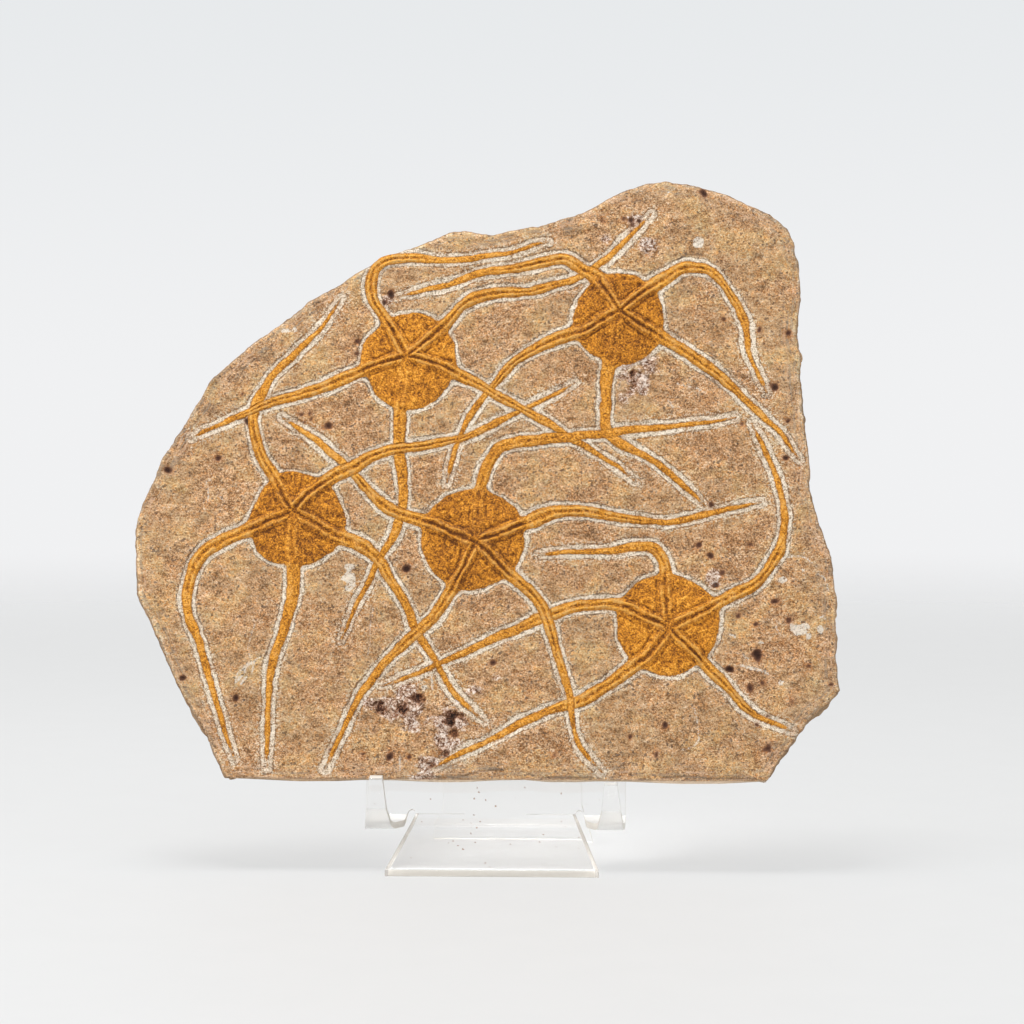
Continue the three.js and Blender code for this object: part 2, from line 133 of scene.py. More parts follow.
class Finish:
    """The nodes of a material, or of the studio's backdrop."""

    def __init__(self, owner):
        owner.use_nodes = True
        self.owner = owner
        self.tree = owner.node_tree
        self.tree.nodes.clear()

    def wire(self, node, output=0):
        """One output of a node, to calculate with."""
        return Wire(self, node.outputs[output])

    def node(self, kind, settings=None, sockets=None):
        """Adds a node.  Its settings are set first, then its sockets are given values or wires."""
        node = self.tree.nodes.new("ShaderNode" + kind)
        for key, value in (settings or {}).items():
            if key == "stops":
                ramp = node.color_ramp.elements
                while len(ramp) < len(value):
                    ramp.new(1)
                for stop, (position, colour) in zip(ramp, value):
                    stop.position = position
                    stop.color = (*colour, 1)
            else:
                setattr(node, key, value)
        for key, value in (sockets or {}).items():
            named = {socket.identifier: socket for socket in node.inputs}
            socket = named.get(key) or node.inputs[key]
            if isinstance(value, Wire):
                self.tree.links.new(value.socket, socket)
            elif isinstance(value, tuple) and socket.type == "RGBA":
                socket.default_value = (*value, 1)
            else:
                socket.default_value = value
        return node

    def mark(self, name):
        """A value kept at each point of the mesh."""
        return self.wire(self.node("Attribute", {"attribute_name": name}), "Fac")

    def place(self, turn=(0, 0, 0), unit=(0.001, 0.001, 0.001)):
        """Position on the object, turned back by turn and then measured in the given unit."""
        position = self.wire(self.node("TexCoord"), "Object")
        sockets = {"Vector": position, "Rotation": turn, "Scale": unit}
        return self.wire(self.node("Mapping", {"vector_type": "TEXTURE"}, sockets))

    def grain(self, place, size, detail, roughness=0.6, distortion=0):
        """Noise with features about size across, from 0 to 1."""
        sockets = {
            "Vector": place, "Scale": 1 / size, "Detail": detail, "Roughness": roughness,
            "Distortion": distortion,
        }
        return self.wire(self.node("TexNoise", None, sockets), 0)

    def speckle(self, place, size):
        """A number from 0 to 1 for each grain of the given size."""
        cells = self.node("TexVoronoi", None, {"Vector": place, "Scale": 1 / size})
        colour = self.wire(cells, "Color")
        return self.wire(self.node("SeparateColor", None, {"Color": colour}), "Red")

    def ramp(self, value, stops):
        """A colour for each value, from a list of places and colours."""
        return self.wire(self.node("ValToRGB", {"stops": stops}, {"Fac": value}), "Color")

    def blend(self, amount, first, second, way="MIX"):
        """Mixes two colours."""
        settings = {"data_type": "RGBA", "blend_type": way, "clamp_factor": True}
        sockets = {"Factor_Float": amount, "A_Color": first, "B_Color": second}
        return self.wire(self.node("Mix", settings, sockets), 2)

    def coats(self, colour, coats):
        """Blends more colours over one: for each its amount, the colour and the way of blending."""
        for amount, paint, *way in coats:
            colour = self.blend(amount, colour, paint, *way)
        return colour

    def relief(self, height):
        """A normal bent by a height given in millimetres."""
        sockets = {"Height": height, "Distance": 0.001, "Strength": 1.0}
        return self.wire(self.node("Bump", None, sockets))

    def surface(self, sockets):
        """Ends the material with a surface shader, and gives the material back."""
        shader = self.node("BsdfPrincipled", None, sockets)
        output = self.node("OutputMaterial")
        self.tree.links.new(shader.outputs[0], output.inputs[0])
        return self.owner


def add_piece(name, mesh, *finishes):
    """An object for a mesh that is in its place already."""
    piece = bpy.data.objects.new(name, mesh)
    bpy.context.scene.collection.objects.link(piece)
    for finish in finishes:
        mesh.materials.append(finish)
    return piece


card = Finish(bpy.data.materials.new("white_card"))
card_place = card.place(unit=(1, 1, 1))
card_distance = card.wire(
    card.node("VectorMath", {"operation": "LENGTH"}, {"Vector": card_place}), "Value"
)
card_tint = card.blend(card.grain(card_place, TABLE_GRAIN, 3), TABLE_WHITE, TABLE_SHADE)
card_finish = card.surface({
    "Base Color": card_tint, "Roughness": 0.6, "Specular IOR Level": 0.2,
    # The card's emission is a painted glow, not a lamp: it lifts the shadows on the table.
    "Emission Color": (1, 1, 0.995), "Emission Strength": TABLE_PAINTED_GLOW,
    "Alpha": card_distance.rise(TABLE_FADE[1], TABLE_FADE[0]),
})

table_shape = bmesh.new()
bmesh.ops.create_circle(table_shape, cap_ends=True, segments=96, radius=TABLE_RADIUS)
table_mesh = bpy.data.meshes.new("table")
table_shape.to_mesh(table_mesh)
table_shape.free()
table = add_piece("table", table_mesh, card_finish)


def add_lamp(name, place, size, power):
    """A rectangular lamp that shines on the middle of the slab."""
    lamp = bpy.data.lights.new(name, "AREA")
    lamp.shape = "RECTANGLE"
    lamp.size, lamp.size_y = size
    lamp.energy = power
    holder = bpy.data.objects.new(name, lamp)
    holder.location = place
    holder.rotation_euler = (Vector(LAMP_AIM) - Vector(place)).to_track_quat("-Z", "Y").to_euler()
    bpy.context.scene.collection.objects.link(holder)
    return lamp


add_lamp("lamp_above", (-0.15, 0.06, 1.1), (0.5, 0.4), 7.0)
fill = add_lamp("lamp_in_front", (-0.6, -1.3, 1.1), (0.6, 0.6), 23.5)
fill.use_shadow = False  # it only softens what the first lamp leaves dark

backdrop = Finish(bpy.data.worlds.new("studio"))
direction = backdrop.wire(backdrop.node("TexCoord"), "Generated")
height = backdrop.wire(backdrop.node("SeparateXYZ", None, {"Vector": direction}), "Z")
backdrop_colour = backdrop.blend(height.rise(*BACKDROP_FADE), BACKDROP_LOW, BACKDROP_HIGH)
backdrop_shader = backdrop.node("Background", None, {"Color": backdrop_colour, "Strength": 1.0})
backdrop_output = backdrop.node("OutputWorld")
backdrop.tree.links.new(backdrop_shader.outputs[0], backdrop_output.inputs[0])
bpy.context.scene.world = backdrop.owner

# ---- Brittle stars ----------------------------------------------------------------------------
# Five fossil brittle stars of ochre, iron-stained stone, each a low round disc with five long
# arms.  They are one with the rock, dug out in relief by hand, and lie over each other in places.
# Millimetres in the plane of the slab's face: x across it, y up it from the sawn edge, z out.

SLAB_LEAN = radians(14.5)
SLAB_EDGE_HEIGHT = 0.0268
GRAIN = 0.25  # spacing of the points that carry the relief
STAR_BASE = -1.2  # underside of a star
CROSSING_FLOOR = -0.2  # underside of an arm that lies over another
CROSSING_ROOF = -0.5  # top of the arm below it
DISC_RIM = 0.22
DISC_CROWN = 0.5
ARM_HALF = 2.35  # half width of an arm at the hub, before its limits
ARM_TAPER = 1.9
ARM_LIMITS = (0.4, 2.1)
ARM_TIP = (1.02, 0.93)  # parts of its length over which an arm comes to its tip
FILLET = 1.5  # how far the rock of an arm spreads where it joins the disc
ARM_HEIGHT = 0.3
ARM_FALL = 0.12  # loss of height by the tip
RIB_HEIGHT = 0.42
FURROW_DEPTH = 0.23
SIDE_FURROW_DEPTH = 0.3
EDGE_REACH = 0.4  # width of the rounding at the edge of a star

# Each star's disc is a middle and a radius, and its arms start at its hub.  Its ribs are, for each
# arm, how strong they are and how far along it they end.  A shade above 0 darkens the disc.
STARS = {
    "brittle_star_upper_left": {
        "disc": (-27.5, 127, 14.5), "hub": (-28, 128.5), "shade": -0.05,
        "arms": [
            [(-33.5, 138), (-39, 147), (-38, 155.5), (-31.5, 159), (-16, 158.5), (0, 160.5),
             (14.5, 164.5)],
            [(-17, 137.5), (-11, 144.5), (-2.5, 148), (11.5, 149.5), (23.5, 153), (29.5, 156.5),
             (35, 161.5), (46, 173)],
            [(-15.5, 124.5), (-3.5, 118), (6.5, 112.5), (20, 104.5), (33.5, 96), (41, 90)],
            [(-29.5, 113), (-30, 101), (-28.5, 85.5), (-30.5, 74.5), (-37, 61.5), (-46, 41.5)],
            [(-42.5, 123.5), (-57, 117.5), (-73.5, 112), (-93.5, 103)],
        ],
        "ribs": [(1, 0.55), (1, 0.6), (1, 0.6), (0.25, 0.3), (1, 0.75)],
    },
    "brittle_star_upper_right": {
        "disc": (36, 140.5, 14), "hub": (36, 142.5), "shade": 0.06,
        "arms": [
            [(30.5, 152), (26, 155), (20, 159), (13.5, 158), (-5, 154), (-16, 150.5), (-30.5, 147)],
            [(49, 152), (55, 155.5), (59.5, 156), (64.5, 154.5), (69.5, 148.5), (74, 139.5),
             (76, 129),
             (81, 117)],
            [(49, 134.5), (58.5, 128.5), (67.5, 121.5), (75.5, 114), (83.5, 106), (90.5, 96)],
            [(34.5, 130.5), (33, 122), (32, 114), (32.5, 106.5), (36, 102.5), (49, 94.5),
             (62.5, 82)],
            [(27, 137.5), (17.5, 134), (9.5, 129.5), (3, 124.5), (-6, 113.5), (-11.5, 103),
             (-15, 89)],
        ],
        "ribs": [(1, 0.6), (1, 0.7), (0.9, 0.75), (0.2, 0.3), (1, 0.6)],
    },
    "brittle_star_left": {
        "disc": (-60, 77.5, 14.5), "hub": (-61.5, 80.5), "shade": 0.06,
        "arms": [
            [(-66.5, 89.5), (-71, 97), (-73.5, 104.5), (-73.5, 112), (-68, 123), (-56, 135.5),
             (-48, 146.5)],
            [(-53, 88.5), (-44, 93.5), (-36.5, 97.5), (-29, 100), (-12.5, 102.5), (3.5, 109.5),
             (23, 120.5)],
            [(-51.5, 74.5), (-37, 67.5), (-30, 57), (-23, 44), (-13, 27), (-3.5, 17.5)],
            [(-61, 70.5), (-60.5, 61.5), (-61, 52), (-66, 35), (-67, 23), (-67, 3)],
            [(-71.5, 76), (-81, 72), (-88, 67.5), (-92, 59), (-92, 50), (-88, 39), (-82, 20),
             (-76.5, 5.5)],
        ],
        "ribs": [(0.8, 0.45), (1, 0.65), (0.8, 0.5), (0.3, 0.25), (1, 0.4)],
    },
    "brittle_star_centre": {
        "disc": (-7, 72, 15.5), "hub": (-6, 71.5), "shade": 0.06,
        "arms": [
            [(-5, 88), (-1, 98), (4, 101), (12, 102.5), (34, 105), (56.5, 107.5), (71, 109.5)],
            [(8.5, 76.5), (14.5, 79.5), (20, 80.5), (31, 80), (42, 78), (51.5, 77.5), (63.5, 80),
             (79, 83.5)],
            [(1, 64.5), (12, 54), (16.5, 44.5), (21, 28), (24.5, 12), (31.5, 2.5)],
            [(-11.5, 61), (-17.5, 49.5), (-30, 37.5), (-40.5, 24), (-50, 3)],
            [(-17.5, 76), (-31.5, 80.5), (-42, 90.5), (-52.5, 100.5), (-65, 109)],
        ],
        "ribs": [(0.3, 0.5), (1, 0.6), (1, 0.6), (0.8, 0.55), (1, 0.7)],
    },
    "brittle_star_lower_right": {
        "disc": (51, 46.5, 15), "hub": (51.5, 45.5), "shade": -0.05,
        "arms": [
            [(50, 55.5), (50.5, 63.5), (47.5, 69), (43, 70), (30.5, 68.5), (12.5, 67.5)],
            [(59.5, 49.5), (66.5, 53.5), (72.5, 56.5), (78.5, 61), (84.5, 71), (85.5, 83),
             (80, 98.5),
             (76, 107.5)],
            [(62, 34.5), (73, 23), (80, 18), (88, 15)],
            [(44, 36.5), (29.5, 25.5), (12.5, 19), (-2.5, 11.5), (-18, 3)],
            [(43, 49.5), (35.5, 52.5), (28, 52.5), (21, 51), (5.5, 44.5), (-9, 38), (-21.5, 32.5),
             (-33.5, 28)],
        ],
        "ribs": [(0.6, 0.5), (0.9, 0.5), (1, 0.8), (0.8, 0.5), (1, 0.5)],
    },
}

# Where two arms cross: the arm on top, then the one under it.
CROSSINGS = [
    ("upper_right", 0, "upper_left", 1), ("upper_left", 2, "upper_right", 4),
    ("upper_left", 2, "left", 1), ("upper_left", 4, "left", 0), ("left", 1, "upper_left", 3),
    ("left", 1, "upper_right", 4), ("left", 1, "centre", 4), ("left", 2, "upper_left", 3),
    ("left", 2, "lower_right", 4), ("centre", 0, "upper_left", 2), ("centre", 0, "upper_right", 3),
    ("centre", 2, "lower_right", 3), ("centre", 2, "lower_right", 4), ("centre", 3, "left", 2),
    ("centre", 4, "upper_left", 3),
]

across = np.arange(-114, 107, GRAIN)
up = np.arange(-6, 188, GRAIN)
X, Y = np.meshgrid(across, up, indexing="ij")


def step(start, end, value):
    """0 up to start and 1 from end, with a smooth step between them; it falls if end < start."""
    t = np.clip((value - start) / (end - start), 0, 1)
    return t * t * (3 - 2 * t)


def lumps(size, seed):
    """A smooth uneven surface with features about size across, about 1 high and deep."""
    random = np.random.default_rng(seed)

    def weights(places):
        """How much each control point of a smooth curve counts at each place."""
        t = (places - places[0]) / size
        cell = np.floor(t).astype(int)
        f = t - cell
        curve = ((1 - f) ** 3, 3 * f**3 - 6 * f**2 + 4, -3 * f**3 + 3 * f**2 + 3 * f + 1, f**3)
        table = np.zeros((len(places), cell[-1] + 4))
        for k, share in enumerate(curve):
            table[np.arange(len(places)), cell + k] = share / 6
        return table

    along_x, along_y = weights(across), weights(up)
    surface = along_x @ random.standard_normal((along_x.shape[1], along_y.shape[1])) @ along_y.T
    return surface / surface.std()


def softened(surface, reach):
    """The surface averaged over reach on all sides."""
    count = round(reach / GRAIN)
    for axis in (0, 1):
        total = np.zeros_like(surface)
        for shift in range(-count, count + 1):
            total += np.roll(surface, shift, axis) * (count + 1 - abs(shift))
        surface = total / (count + 1) ** 2
    return surface


def at(surface, x, y):
    """The surface's value at places between its points."""
    i = np.clip((np.asarray(x) - across[0]) / GRAIN, 0, len(across) - 1.001)
    j = np.clip((np.asarray(y) - up[0]) / GRAIN, 0, len(up) - 1.001)
    a, b = i.astype(int), j.astype(int)
    p, q = i - a, j - b
    low = surface[a, b] * (1 - q) + surface[a, b + 1] * q
    high = surface[a + 1, b] * (1 - q) + surface[a + 1, b + 1] * q
    return low * (1 - p) + high * p


def centre_line(points, steps=12):
    """A smooth line through an arm's points, and how far along it each place is, from 0 to 1."""
    points = [np.array(point, float) for point in points]
    line = []
    for k in range(len(points) - 1):
        p1, p2 = points[k], points[k + 1]
        leave = (p2 - points[max(k - 1, 0)]) / 2
        reach = (points[min(k + 2, len(points) - 1)] - p1) / 2
        for f in np.arange(steps) / steps:
            bend = (-3 * p1 + 3 * p2 - 2 * leave - reach) * f**2
            line.append((2 * p1 - 2 * p2 + leave + reach) * f**3 + bend + leave * f + p1)
    line = np.array([*line, points[-1]])
    run = np.concatenate([[0], np.cumsum(np.hypot(*np.diff(line, axis=0).T))])
    return line, run / run[-1]


# The places are moved a little, so that outlines waver as natural ones do.
waver_x = X + 0.22 * lumps(5, 1) + 0.07 * lumps(1.2, 2)
waver_y = Y + 0.22 * lumps(5, 3) + 0.07 * lumps(1.2, 4)


def line_distance(line, run, reach=7):
    """How far each place is from a line, to which side, and how far along it."""
    distance = np.full(X.shape, 60.0)
    side = np.ones(X.shape)
    along = np.zeros(X.shape)
    for (x0, y0), (x1, y1), r0, r1 in zip(line[:-1], line[1:], run[:-1], run[1:]):
        i0, i1 = np.searchsorted(across, (min(x0, x1) - reach, max(x0, x1) + reach))
        j0, j1 = np.searchsorted(up, (min(y0, y1) - reach, max(y0, y1) + reach))
        window = (slice(i0, i1), slice(j0, j1))
        px, py = waver_x[window] - x0, waver_y[window] - y0
        dx, dy = x1 - x0, y1 - y0
        f = np.clip((px * dx + py * dy) / (dx * dx + dy * dy), 0, 1)
        away = np.hypot(px - f * dx, py - f * dy)
        nearer = away < distance[window]
        distance[window] = np.where(nearer, away, distance[window])
        side[window] = np.where(nearer, np.sign(dx * py - dy * px), side[window])
        along[window] = np.where(nearer, r0 + f * (r1 - r0), along[window])
    return distance, side, along


arm_width_lumps = 1 + 0.08 * lumps(3.5, 5)
disc_lumps = 0.32 * lumps(7, 6) + 0.14 * lumps(2, 7)
undulation = 0.3 * lumps(26, 24) + 0.12 * lumps(8, 25)  # of the rock and the stars alike
crumble = 0.05 * lumps(1.1, 8) + 0.045 * lumps(0.6, 9)
wrinkles = 0.13 * (1 - 2 * np.abs(lumps(1.7, 10)).clip(0, 1)) + 0.05 * lumps(0.9, 11)
rib_lumps = (1 + 0.35 * lumps(1.6, 12)).clip(0.2, 1.8)

stars = {}
for name, star in STARS.items():
    cx, cy, radius = star["disc"]
    from_middle = np.hypot(waver_x - cx, waver_y - cy)
    disc_edge = from_middle - radius - disc_lumps
    arms = []
    for route in star["arms"]:
        distance, side, along = line_distance(*centre_line([star["hub"], *route]))
        half = np.clip(ARM_HALF - ARM_TAPER * along, *ARM_LIMITS) * arm_width_lumps
        half = half * step(*ARM_TIP, along).clip(0.45)
        arms.append({"edge": distance - half, "side": side * distance / half, "along": along})
    arm_edges = np.array([arm["edge"] for arm in arms])
    nearest = arm_edges.argmin(0)
    arm_edge = arm_edges.min(0)
    fillet = np.clip(0.5 + (arm_edge - disc_edge) / (2 * FILLET), 0, 1)
    edge = arm_edge * (1 - fillet) + disc_edge * fillet - FILLET * fillet * (1 - fillet)
    stars[name] = {
        "arms": arms, "edge": edge, "nearest": nearest,
        "from_middle": from_middle / radius, "disc": step(1.0, -1.2, disc_edge),
    }


def arm_value(star, key):
    """A value of whichever arm is nearest."""
    return np.choose(star["nearest"], [arm[key] for arm in star["arms"]])


# The surface: a domed disc and low arms, each with two ribs and a furrow between them.
for name, star in stars.items():
    side = arm_value(star, "side")
    along = arm_value(star, "along")
    ratio = np.abs(side)
    ribs = np.choose(star["nearest"], [
        strength * step(end + 0.12, end - 0.12, along) for strength, end in STARS[name]["ribs"]
    ])
    on_disc = star["disc"]
    dome = DISC_RIM + (DISC_CROWN - DISC_RIM) * (1 - star["from_middle"] ** 2) + wrinkles
    band = (ARM_HEIGHT - ARM_FALL * along) * (1 - 0.35 * ratio.clip(0, 1) ** 2.5)
    base = band * (1 - on_disc) + dome * on_disc
    strength = 0.25 + 0.75 * ribs
    raised = 0.24 * strength * np.exp(-(ratio**6)) * on_disc
    calm = 0.65 + 0.35 * on_disc
    rib_tops = RIB_HEIGHT * calm * ribs * rib_lumps * np.exp(-(((ratio - 0.5) / 0.2) ** 2))
    middle_furrow = FURROW_DEPTH * calm * ribs * np.exp(-((ratio / 0.17) ** 2))
    side_furrow = SIDE_FURROW_DEPTH * strength * np.exp(-(((ratio - 1.25) / 0.2) ** 2)) * on_disc
    at_edge = np.exp(-(-star["edge"]).clip(0) / EDGE_REACH)
    top = base + raised + rib_tops - middle_furrow - side_furrow + crumble
    top = top * (1 - at_edge) - 0.12 * at_edge + undulation
    star.update(top=top, side=side, along=along, ribs=ribs, under=np.full(X.shape, STAR_BASE))

# The upper arm of a crossing keeps its top, and the lower one passes beneath it.
for over_key, over_arm, under_key, under_arm in CROSSINGS:
    over = stars["brittle_star_" + over_key]
    under = stars["brittle_star_" + under_key]
    over_edge = over["arms"][over_arm]["edge"]
    under_edge = under["arms"][under_arm]["edge"]
    covered = (over_edge < 0.1) & (under_edge < 1)
    under["top"] = np.where(covered, np.minimum(under["top"], CROSSING_ROOF), under["top"])
    bridged = (under_edge < 0.3) & (over_edge < 1)
    over["under"] = np.where(bridged, CROSSING_FLOOR, over["under"])

# How hollow each place is, for painted shade that darkens the hollows and a painted highlight on
# the crests: above 0 in a hollow, below 0 on a crest.
HOLLOW_REACH = 0.75
HOLLOW_LIMIT = 0.5
for star in stars.values():
    outside = star["edge"] > -0.05
    filled = np.where(outside, softened(np.where(outside, 0, star["top"]), 1), star["top"])
    hollow = (softened(filled, HOLLOW_REACH) - star["top"]).clip(-HOLLOW_LIMIT, HOLLOW_LIMIT) * 4
    star["hollow"] = hollow * step(0.1, 0.7, -star["edge"])

# From the plane of the slab's face, in millimetres, to its place on the easel.
to_world = (
    Matrix.Translation((easel_middle, slab_edge, SLAB_EDGE_HEIGHT))
    @ Matrix.Rotation(pi / 2 - SLAB_LEAN, 4, "X")
    @ Matrix.Scale(0.001, 4)
)


def grid_over(low, high, spacing):
    """A flat grid of square faces between two corners."""
    count = [round((high[k] - low[k]) / spacing) for k in (0, 1)]
    shape = bmesh.new()
    bmesh.ops.create_grid(shape, x_segments=count[0], y_segments=count[1], size=0.5)
    bmesh.ops.translate(shape, vec=(0.5, 0.5, 0), verts=shape.verts)
    bmesh.ops.scale(shape, vec=(count[0] * spacing, count[1] * spacing, 1), verts=shape.verts)
    bmesh.ops.translate(shape, vec=(*low, 0), verts=shape.verts)
    return shape


def values_at(shape, surface):
    """The surface's value at each point of a shape."""
    places = np.array([vert.co[:2] for vert in shape.verts])
    return at(surface, places[:, 0], places[:, 1])


BORDER_SHIFT = 0.3  # no point of a border is moved further than this
SHARP_ANGLE = radians(55)


def trim(shape, edge):
    """Keeps the faces inside edge, and moves the border onto it."""
    values = values_at(shape, edge)
    shape.verts.index_update()
    outer = [f for f in shape.faces if sum(values[v.index] for v in f.verts) > 0]
    bmesh.ops.delete(shape, geom=outer, context="FACES")
    while True:
        pinched = [v for v in shape.verts if sum(e.is_boundary for e in v.link_edges) > 2]
        if not pinched:
            break
        faces = list(dict.fromkeys(v.link_faces[0] for v in pinched))
        bmesh.ops.delete(shape, geom=faces, context="FACES")
    slope_x, slope_y = np.gradient(edge, GRAIN)
    for vert in shape.verts:
        if vert.is_boundary:
            x, y = vert.co[:2]
            value, gx, gy = (float(at(s, x, y)) for s in (edge, slope_x, slope_y))
            shift = max(-BORDER_SHIFT, min(BORDER_SHIFT, value / max(gx * gx + gy * gy, 0.3)))
            vert.co.x -= shift * gx
            vert.co.y -= shift * gy


def mesh_with_marks(name, shape, marks):
    """Moves the finished shape to its place in the world and keeps its marks for the material."""
    places = np.array([vert.co[:2] for vert in shape.verts])
    bmesh.ops.recalc_face_normals(shape, faces=shape.faces)
    shape.transform(to_world)
    mesh = bpy.data.meshes.new(name)
    shape.to_mesh(mesh)
    shape.free()
    for key, surface in marks.items():
        values = at(surface, places[:, 0], places[:, 1])
        mesh.attributes.new(key, "FLOAT", "POINT").data.foreach_set("value", values)
    mesh.shade_smooth()
    mesh.set_sharp_from_angle(angle=SHARP_ANGLE)
    return mesh


# The stone of the stars: ochre, with dust on the ribs and arms, a painted highlight on the crests
# and painted brown shade in the hollows.
OCHRE_TONES = [
    (0.0, (0.12, 0.037, 0.003)), (0.25, (0.32, 0.112, 0.008)), (0.5, (0.55, 0.215, 0.017)),
    (0.75, (0.77, 0.325, 0.028)), (1.0, (0.94, 0.50, 0.095)),
]
DISC_TINT = (1.0, 0.94, 0.80)
DUST = (0.27, 0.165, 0.08)
PALE_DUST = (0.46, 0.30, 0.155)
SHADE_BROWN = (0.085, 0.035, 0.012)
PALE_GRIT = (0.47, 0.40, 0.30)

fossil = Finish(bpy.data.materials.new("fossil_ochre"))
place = fossil.place(turn=(pi / 2 - SLAB_LEAN, 0, 0))
hollow = fossil.mark("hollow")
ratio = fossil.mark("side").size()
ribs = fossil.mark("ribs")
rim = fossil.mark("rim")
on_disc = fossil.mark("on_disc")
along = fossil.mark("along")
grains = fossil.speckle(place, 0.32)
fine = fossil.grain(place, 0.5, 3, 0.75)
coarse = fossil.grain(place, 2.6, 4, 0.7)
broad = fossil.grain(place, 7, 3, 0.6)
# Painted light and shade: the furrow between the ribs is darkened, the rib crests are lightened,
# and the hollows get painted brown shade.
furrow_shade = ratio.rise(0.3, 0.05) * ribs * (coarse + 0.1).rise(0.35, 0.6)
crest_highlight = (ratio - 0.5).size().rise(0.3, 0.05) * ribs
tone = grains * 0.5 + fine * 2.05 + coarse * 1.25 + broad * 0.6 - 1.68
tone = tone - on_disc * 0.12 - fossil.mark("shade") - hollow * 0.4
tone = tone - furrow_shade * (on_disc * 0.09 + 0.1) + crest_highlight * 0.14
rib_dust = (ratio - 0.55).size().rise(0.4, 0.1) * ribs * (coarse + grains * 0.1).rise(0.45, 0.62)
dusty = (coarse + broad * 0.5 + grains * 0.15).rise(0.84, 0.98) * (1 - on_disc)
shaded = (hollow + (fine - 0.5) * 1.2).rise(0.3, 1.2) * (on_disc * 0.3 + 0.15)
# Broken painted shade along the star's edge, where it meets the groove.
edge_shade = (rim - (fine - 0.5) * 1.2).rise(0.3, 0.05) * (coarse + grains * 0.15).rise(0.5, 0.64)
fading = (along + (coarse - 0.5) * 0.25 + (grains - 0.5) * 0.06).rise(0.95, 1.02) * (1 - on_disc)
colour = fossil.coats(fossil.ramp(tone, OCHRE_TONES), [
    (on_disc * 0.8, DISC_TINT, "MULTIPLY"), (rib_dust * 0.34, DUST), (dusty * 0.22, PALE_DUST),
    (shaded, SHADE_BROWN), (edge_shade * 0.5, SHADE_BROWN), (fading * 0.8, PALE_GRIT),
])
bumps = fine * 0.7 + coarse * 0.8 + grains * 0.07
fossil_finish = fossil.surface({
    "Base Color": colour, "Roughness": fine * 0.2 + 0.68, "Specular IOR Level": 0.3,
    "Normal": fossil.relief(bumps),
})

# Each star's mesh: a grid trimmed to its outline, without loose crumbs, given a top and a base.
for name, star in stars.items():
    inner = np.argwhere(star["edge"] < 0.5)
    low = (across[inner[:, 0].min()], up[inner[:, 1].min()])
    high = (across[inner[:, 0].max()], up[inner[:, 1].max()])
    shape = grid_over(low, high, GRAIN)
    trim(shape, star["edge"])
    hub_x, hub_y = STARS[name]["hub"]
    front = {min(shape.verts, key=lambda vert: hypot(vert.co.x - hub_x, vert.co.y - hub_y))}
    joined = set(front)
    while front:
        front = {edge.other_vert(vert) for vert in front for edge in vert.link_edges} - joined
        joined |= front
    loose = [vert for vert in shape.verts if vert not in joined]
    bmesh.ops.delete(shape, geom=loose, context="VERTS")
    below = shape.verts[:]
    raised = bmesh.ops.extrude_face_region(shape, geom=shape.faces[:], use_keep_orig=True)
    above = [part for part in raised["geom"] if isinstance(part, bmesh.types.BMVert)]
    for verts, surface in ((below, star["under"]), (above, star["top"])):
        xy = np.array([vert.co[:2] for vert in verts])
        for vert, z in zip(verts, at(surface, xy[:, 0], xy[:, 1])):
            vert.co.z = z
    mesh = mesh_with_marks(name + "_relief", shape, {
        "hollow": star["hollow"], "side": star["side"], "ribs": star["ribs"],
        "rim": (-star["edge"]).clip(0), "on_disc": star["disc"], "along": star["along"],
        "shade": STARS[name]["shade"] * star["disc"],
    })
    piece = add_piece(name + "_relief", mesh, fossil_finish)
    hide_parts(name)
    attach(piece, "root")

# ---- Sandstone slab ---------------------------------------------------------------------------
# A thin slab of tan sandstone, broken all round but for its sawn lower edge.  The rock round each
# star is dug away in a groove with pale scraped sides, and small iron-stained pits dot the face.

THICKNESS = 13
LEDGE_DEPTH = 2.4
EDGE_ROUNDING = 0.8
SAWN_ROUNDING = 0.12
ROUNDING_REACH = 1.3  # width of the rounded border of the face
MIDDLE = (-3, 88)
FACE_GRID = 1.12  # halved where there is detail
TRENCH_WIDTH = 1.4
TRENCH_DEPTH = 0.3
BED_DEPTH = 1.15  # of the hollow that a star sits in
PIT_DEPTH = 0.9
HOLLOW_DEPTH = 0.8
BACK_GRID = 3
BACK_ROUNDING = 0.8

OUTLINE = [
    (-108, 61), (-108.5, 75), (-107, 83), (-103, 91), (-101.5, 96.5), (-96.5, 104.5), (-93, 110.5),
    (-90, 115), (-87.5, 121), (-81, 127.5), (-71.5, 135), (-62, 142), (-56.5, 146), (-48, 151),
    (-44, 154.5), (-38.5, 158), (-33.5, 160.5), (-25.5, 163), (-18.5, 165.5), (-15.5, 167.5),
    (-8.5, 168), (-2, 166.5), (5, 168), (11.5, 169), (18, 171.5), (25.5, 174), (34.5, 178.5),
    (44.5, 182.5), (50, 183.5), (57, 182.5), (63, 181), (70.5, 178), (78, 175), (82.5, 172.5),
    (87.5, 168.5), (89.5, 163.5), (91, 147.5), (90, 135), (91, 128), (91, 120.5), (93, 97.5),
    (93, 89.5), (96.5, 76), (100, 67), (100.5, 60), (100.5, 48), (101.5, 30.5), (102, 27),
    (98.5, 22.5), (93, 18), (89, 13.5), (84.5, 8), (80, 0), (-79.5, 0), (-83.5, 7.5),
    (-84.5, 10.5), (-87, 15.5), (-94, 27.5), (-100.5, 41), (-107.5, 55),
]

# The sawn edge hangs down a little in front: x, depth.
OVERHANG = [
    (-76, 0), (-66, 0.4), (-57, 0.8), (-46, 0.6), (-39, 0.3), (-29, 0.3), (-20, 0.7), (-14, 0.8),
    (-8, 0.7), (2, 0.1), (9, 0), (16, 0.6), (24, 0.6), (30, 0.3), (39, 0.3), (46, 0.6), (55, 0.9),
    (67, 0.8), (75, 0.3), (80, 0),
]
OVERHANG_ROWS = (-0.15, -0.55)  # depths of the first two rows of points, down to its lowest line
UNDERCUT = 0.13  # rise of the sawn edge towards the back, per millimetre

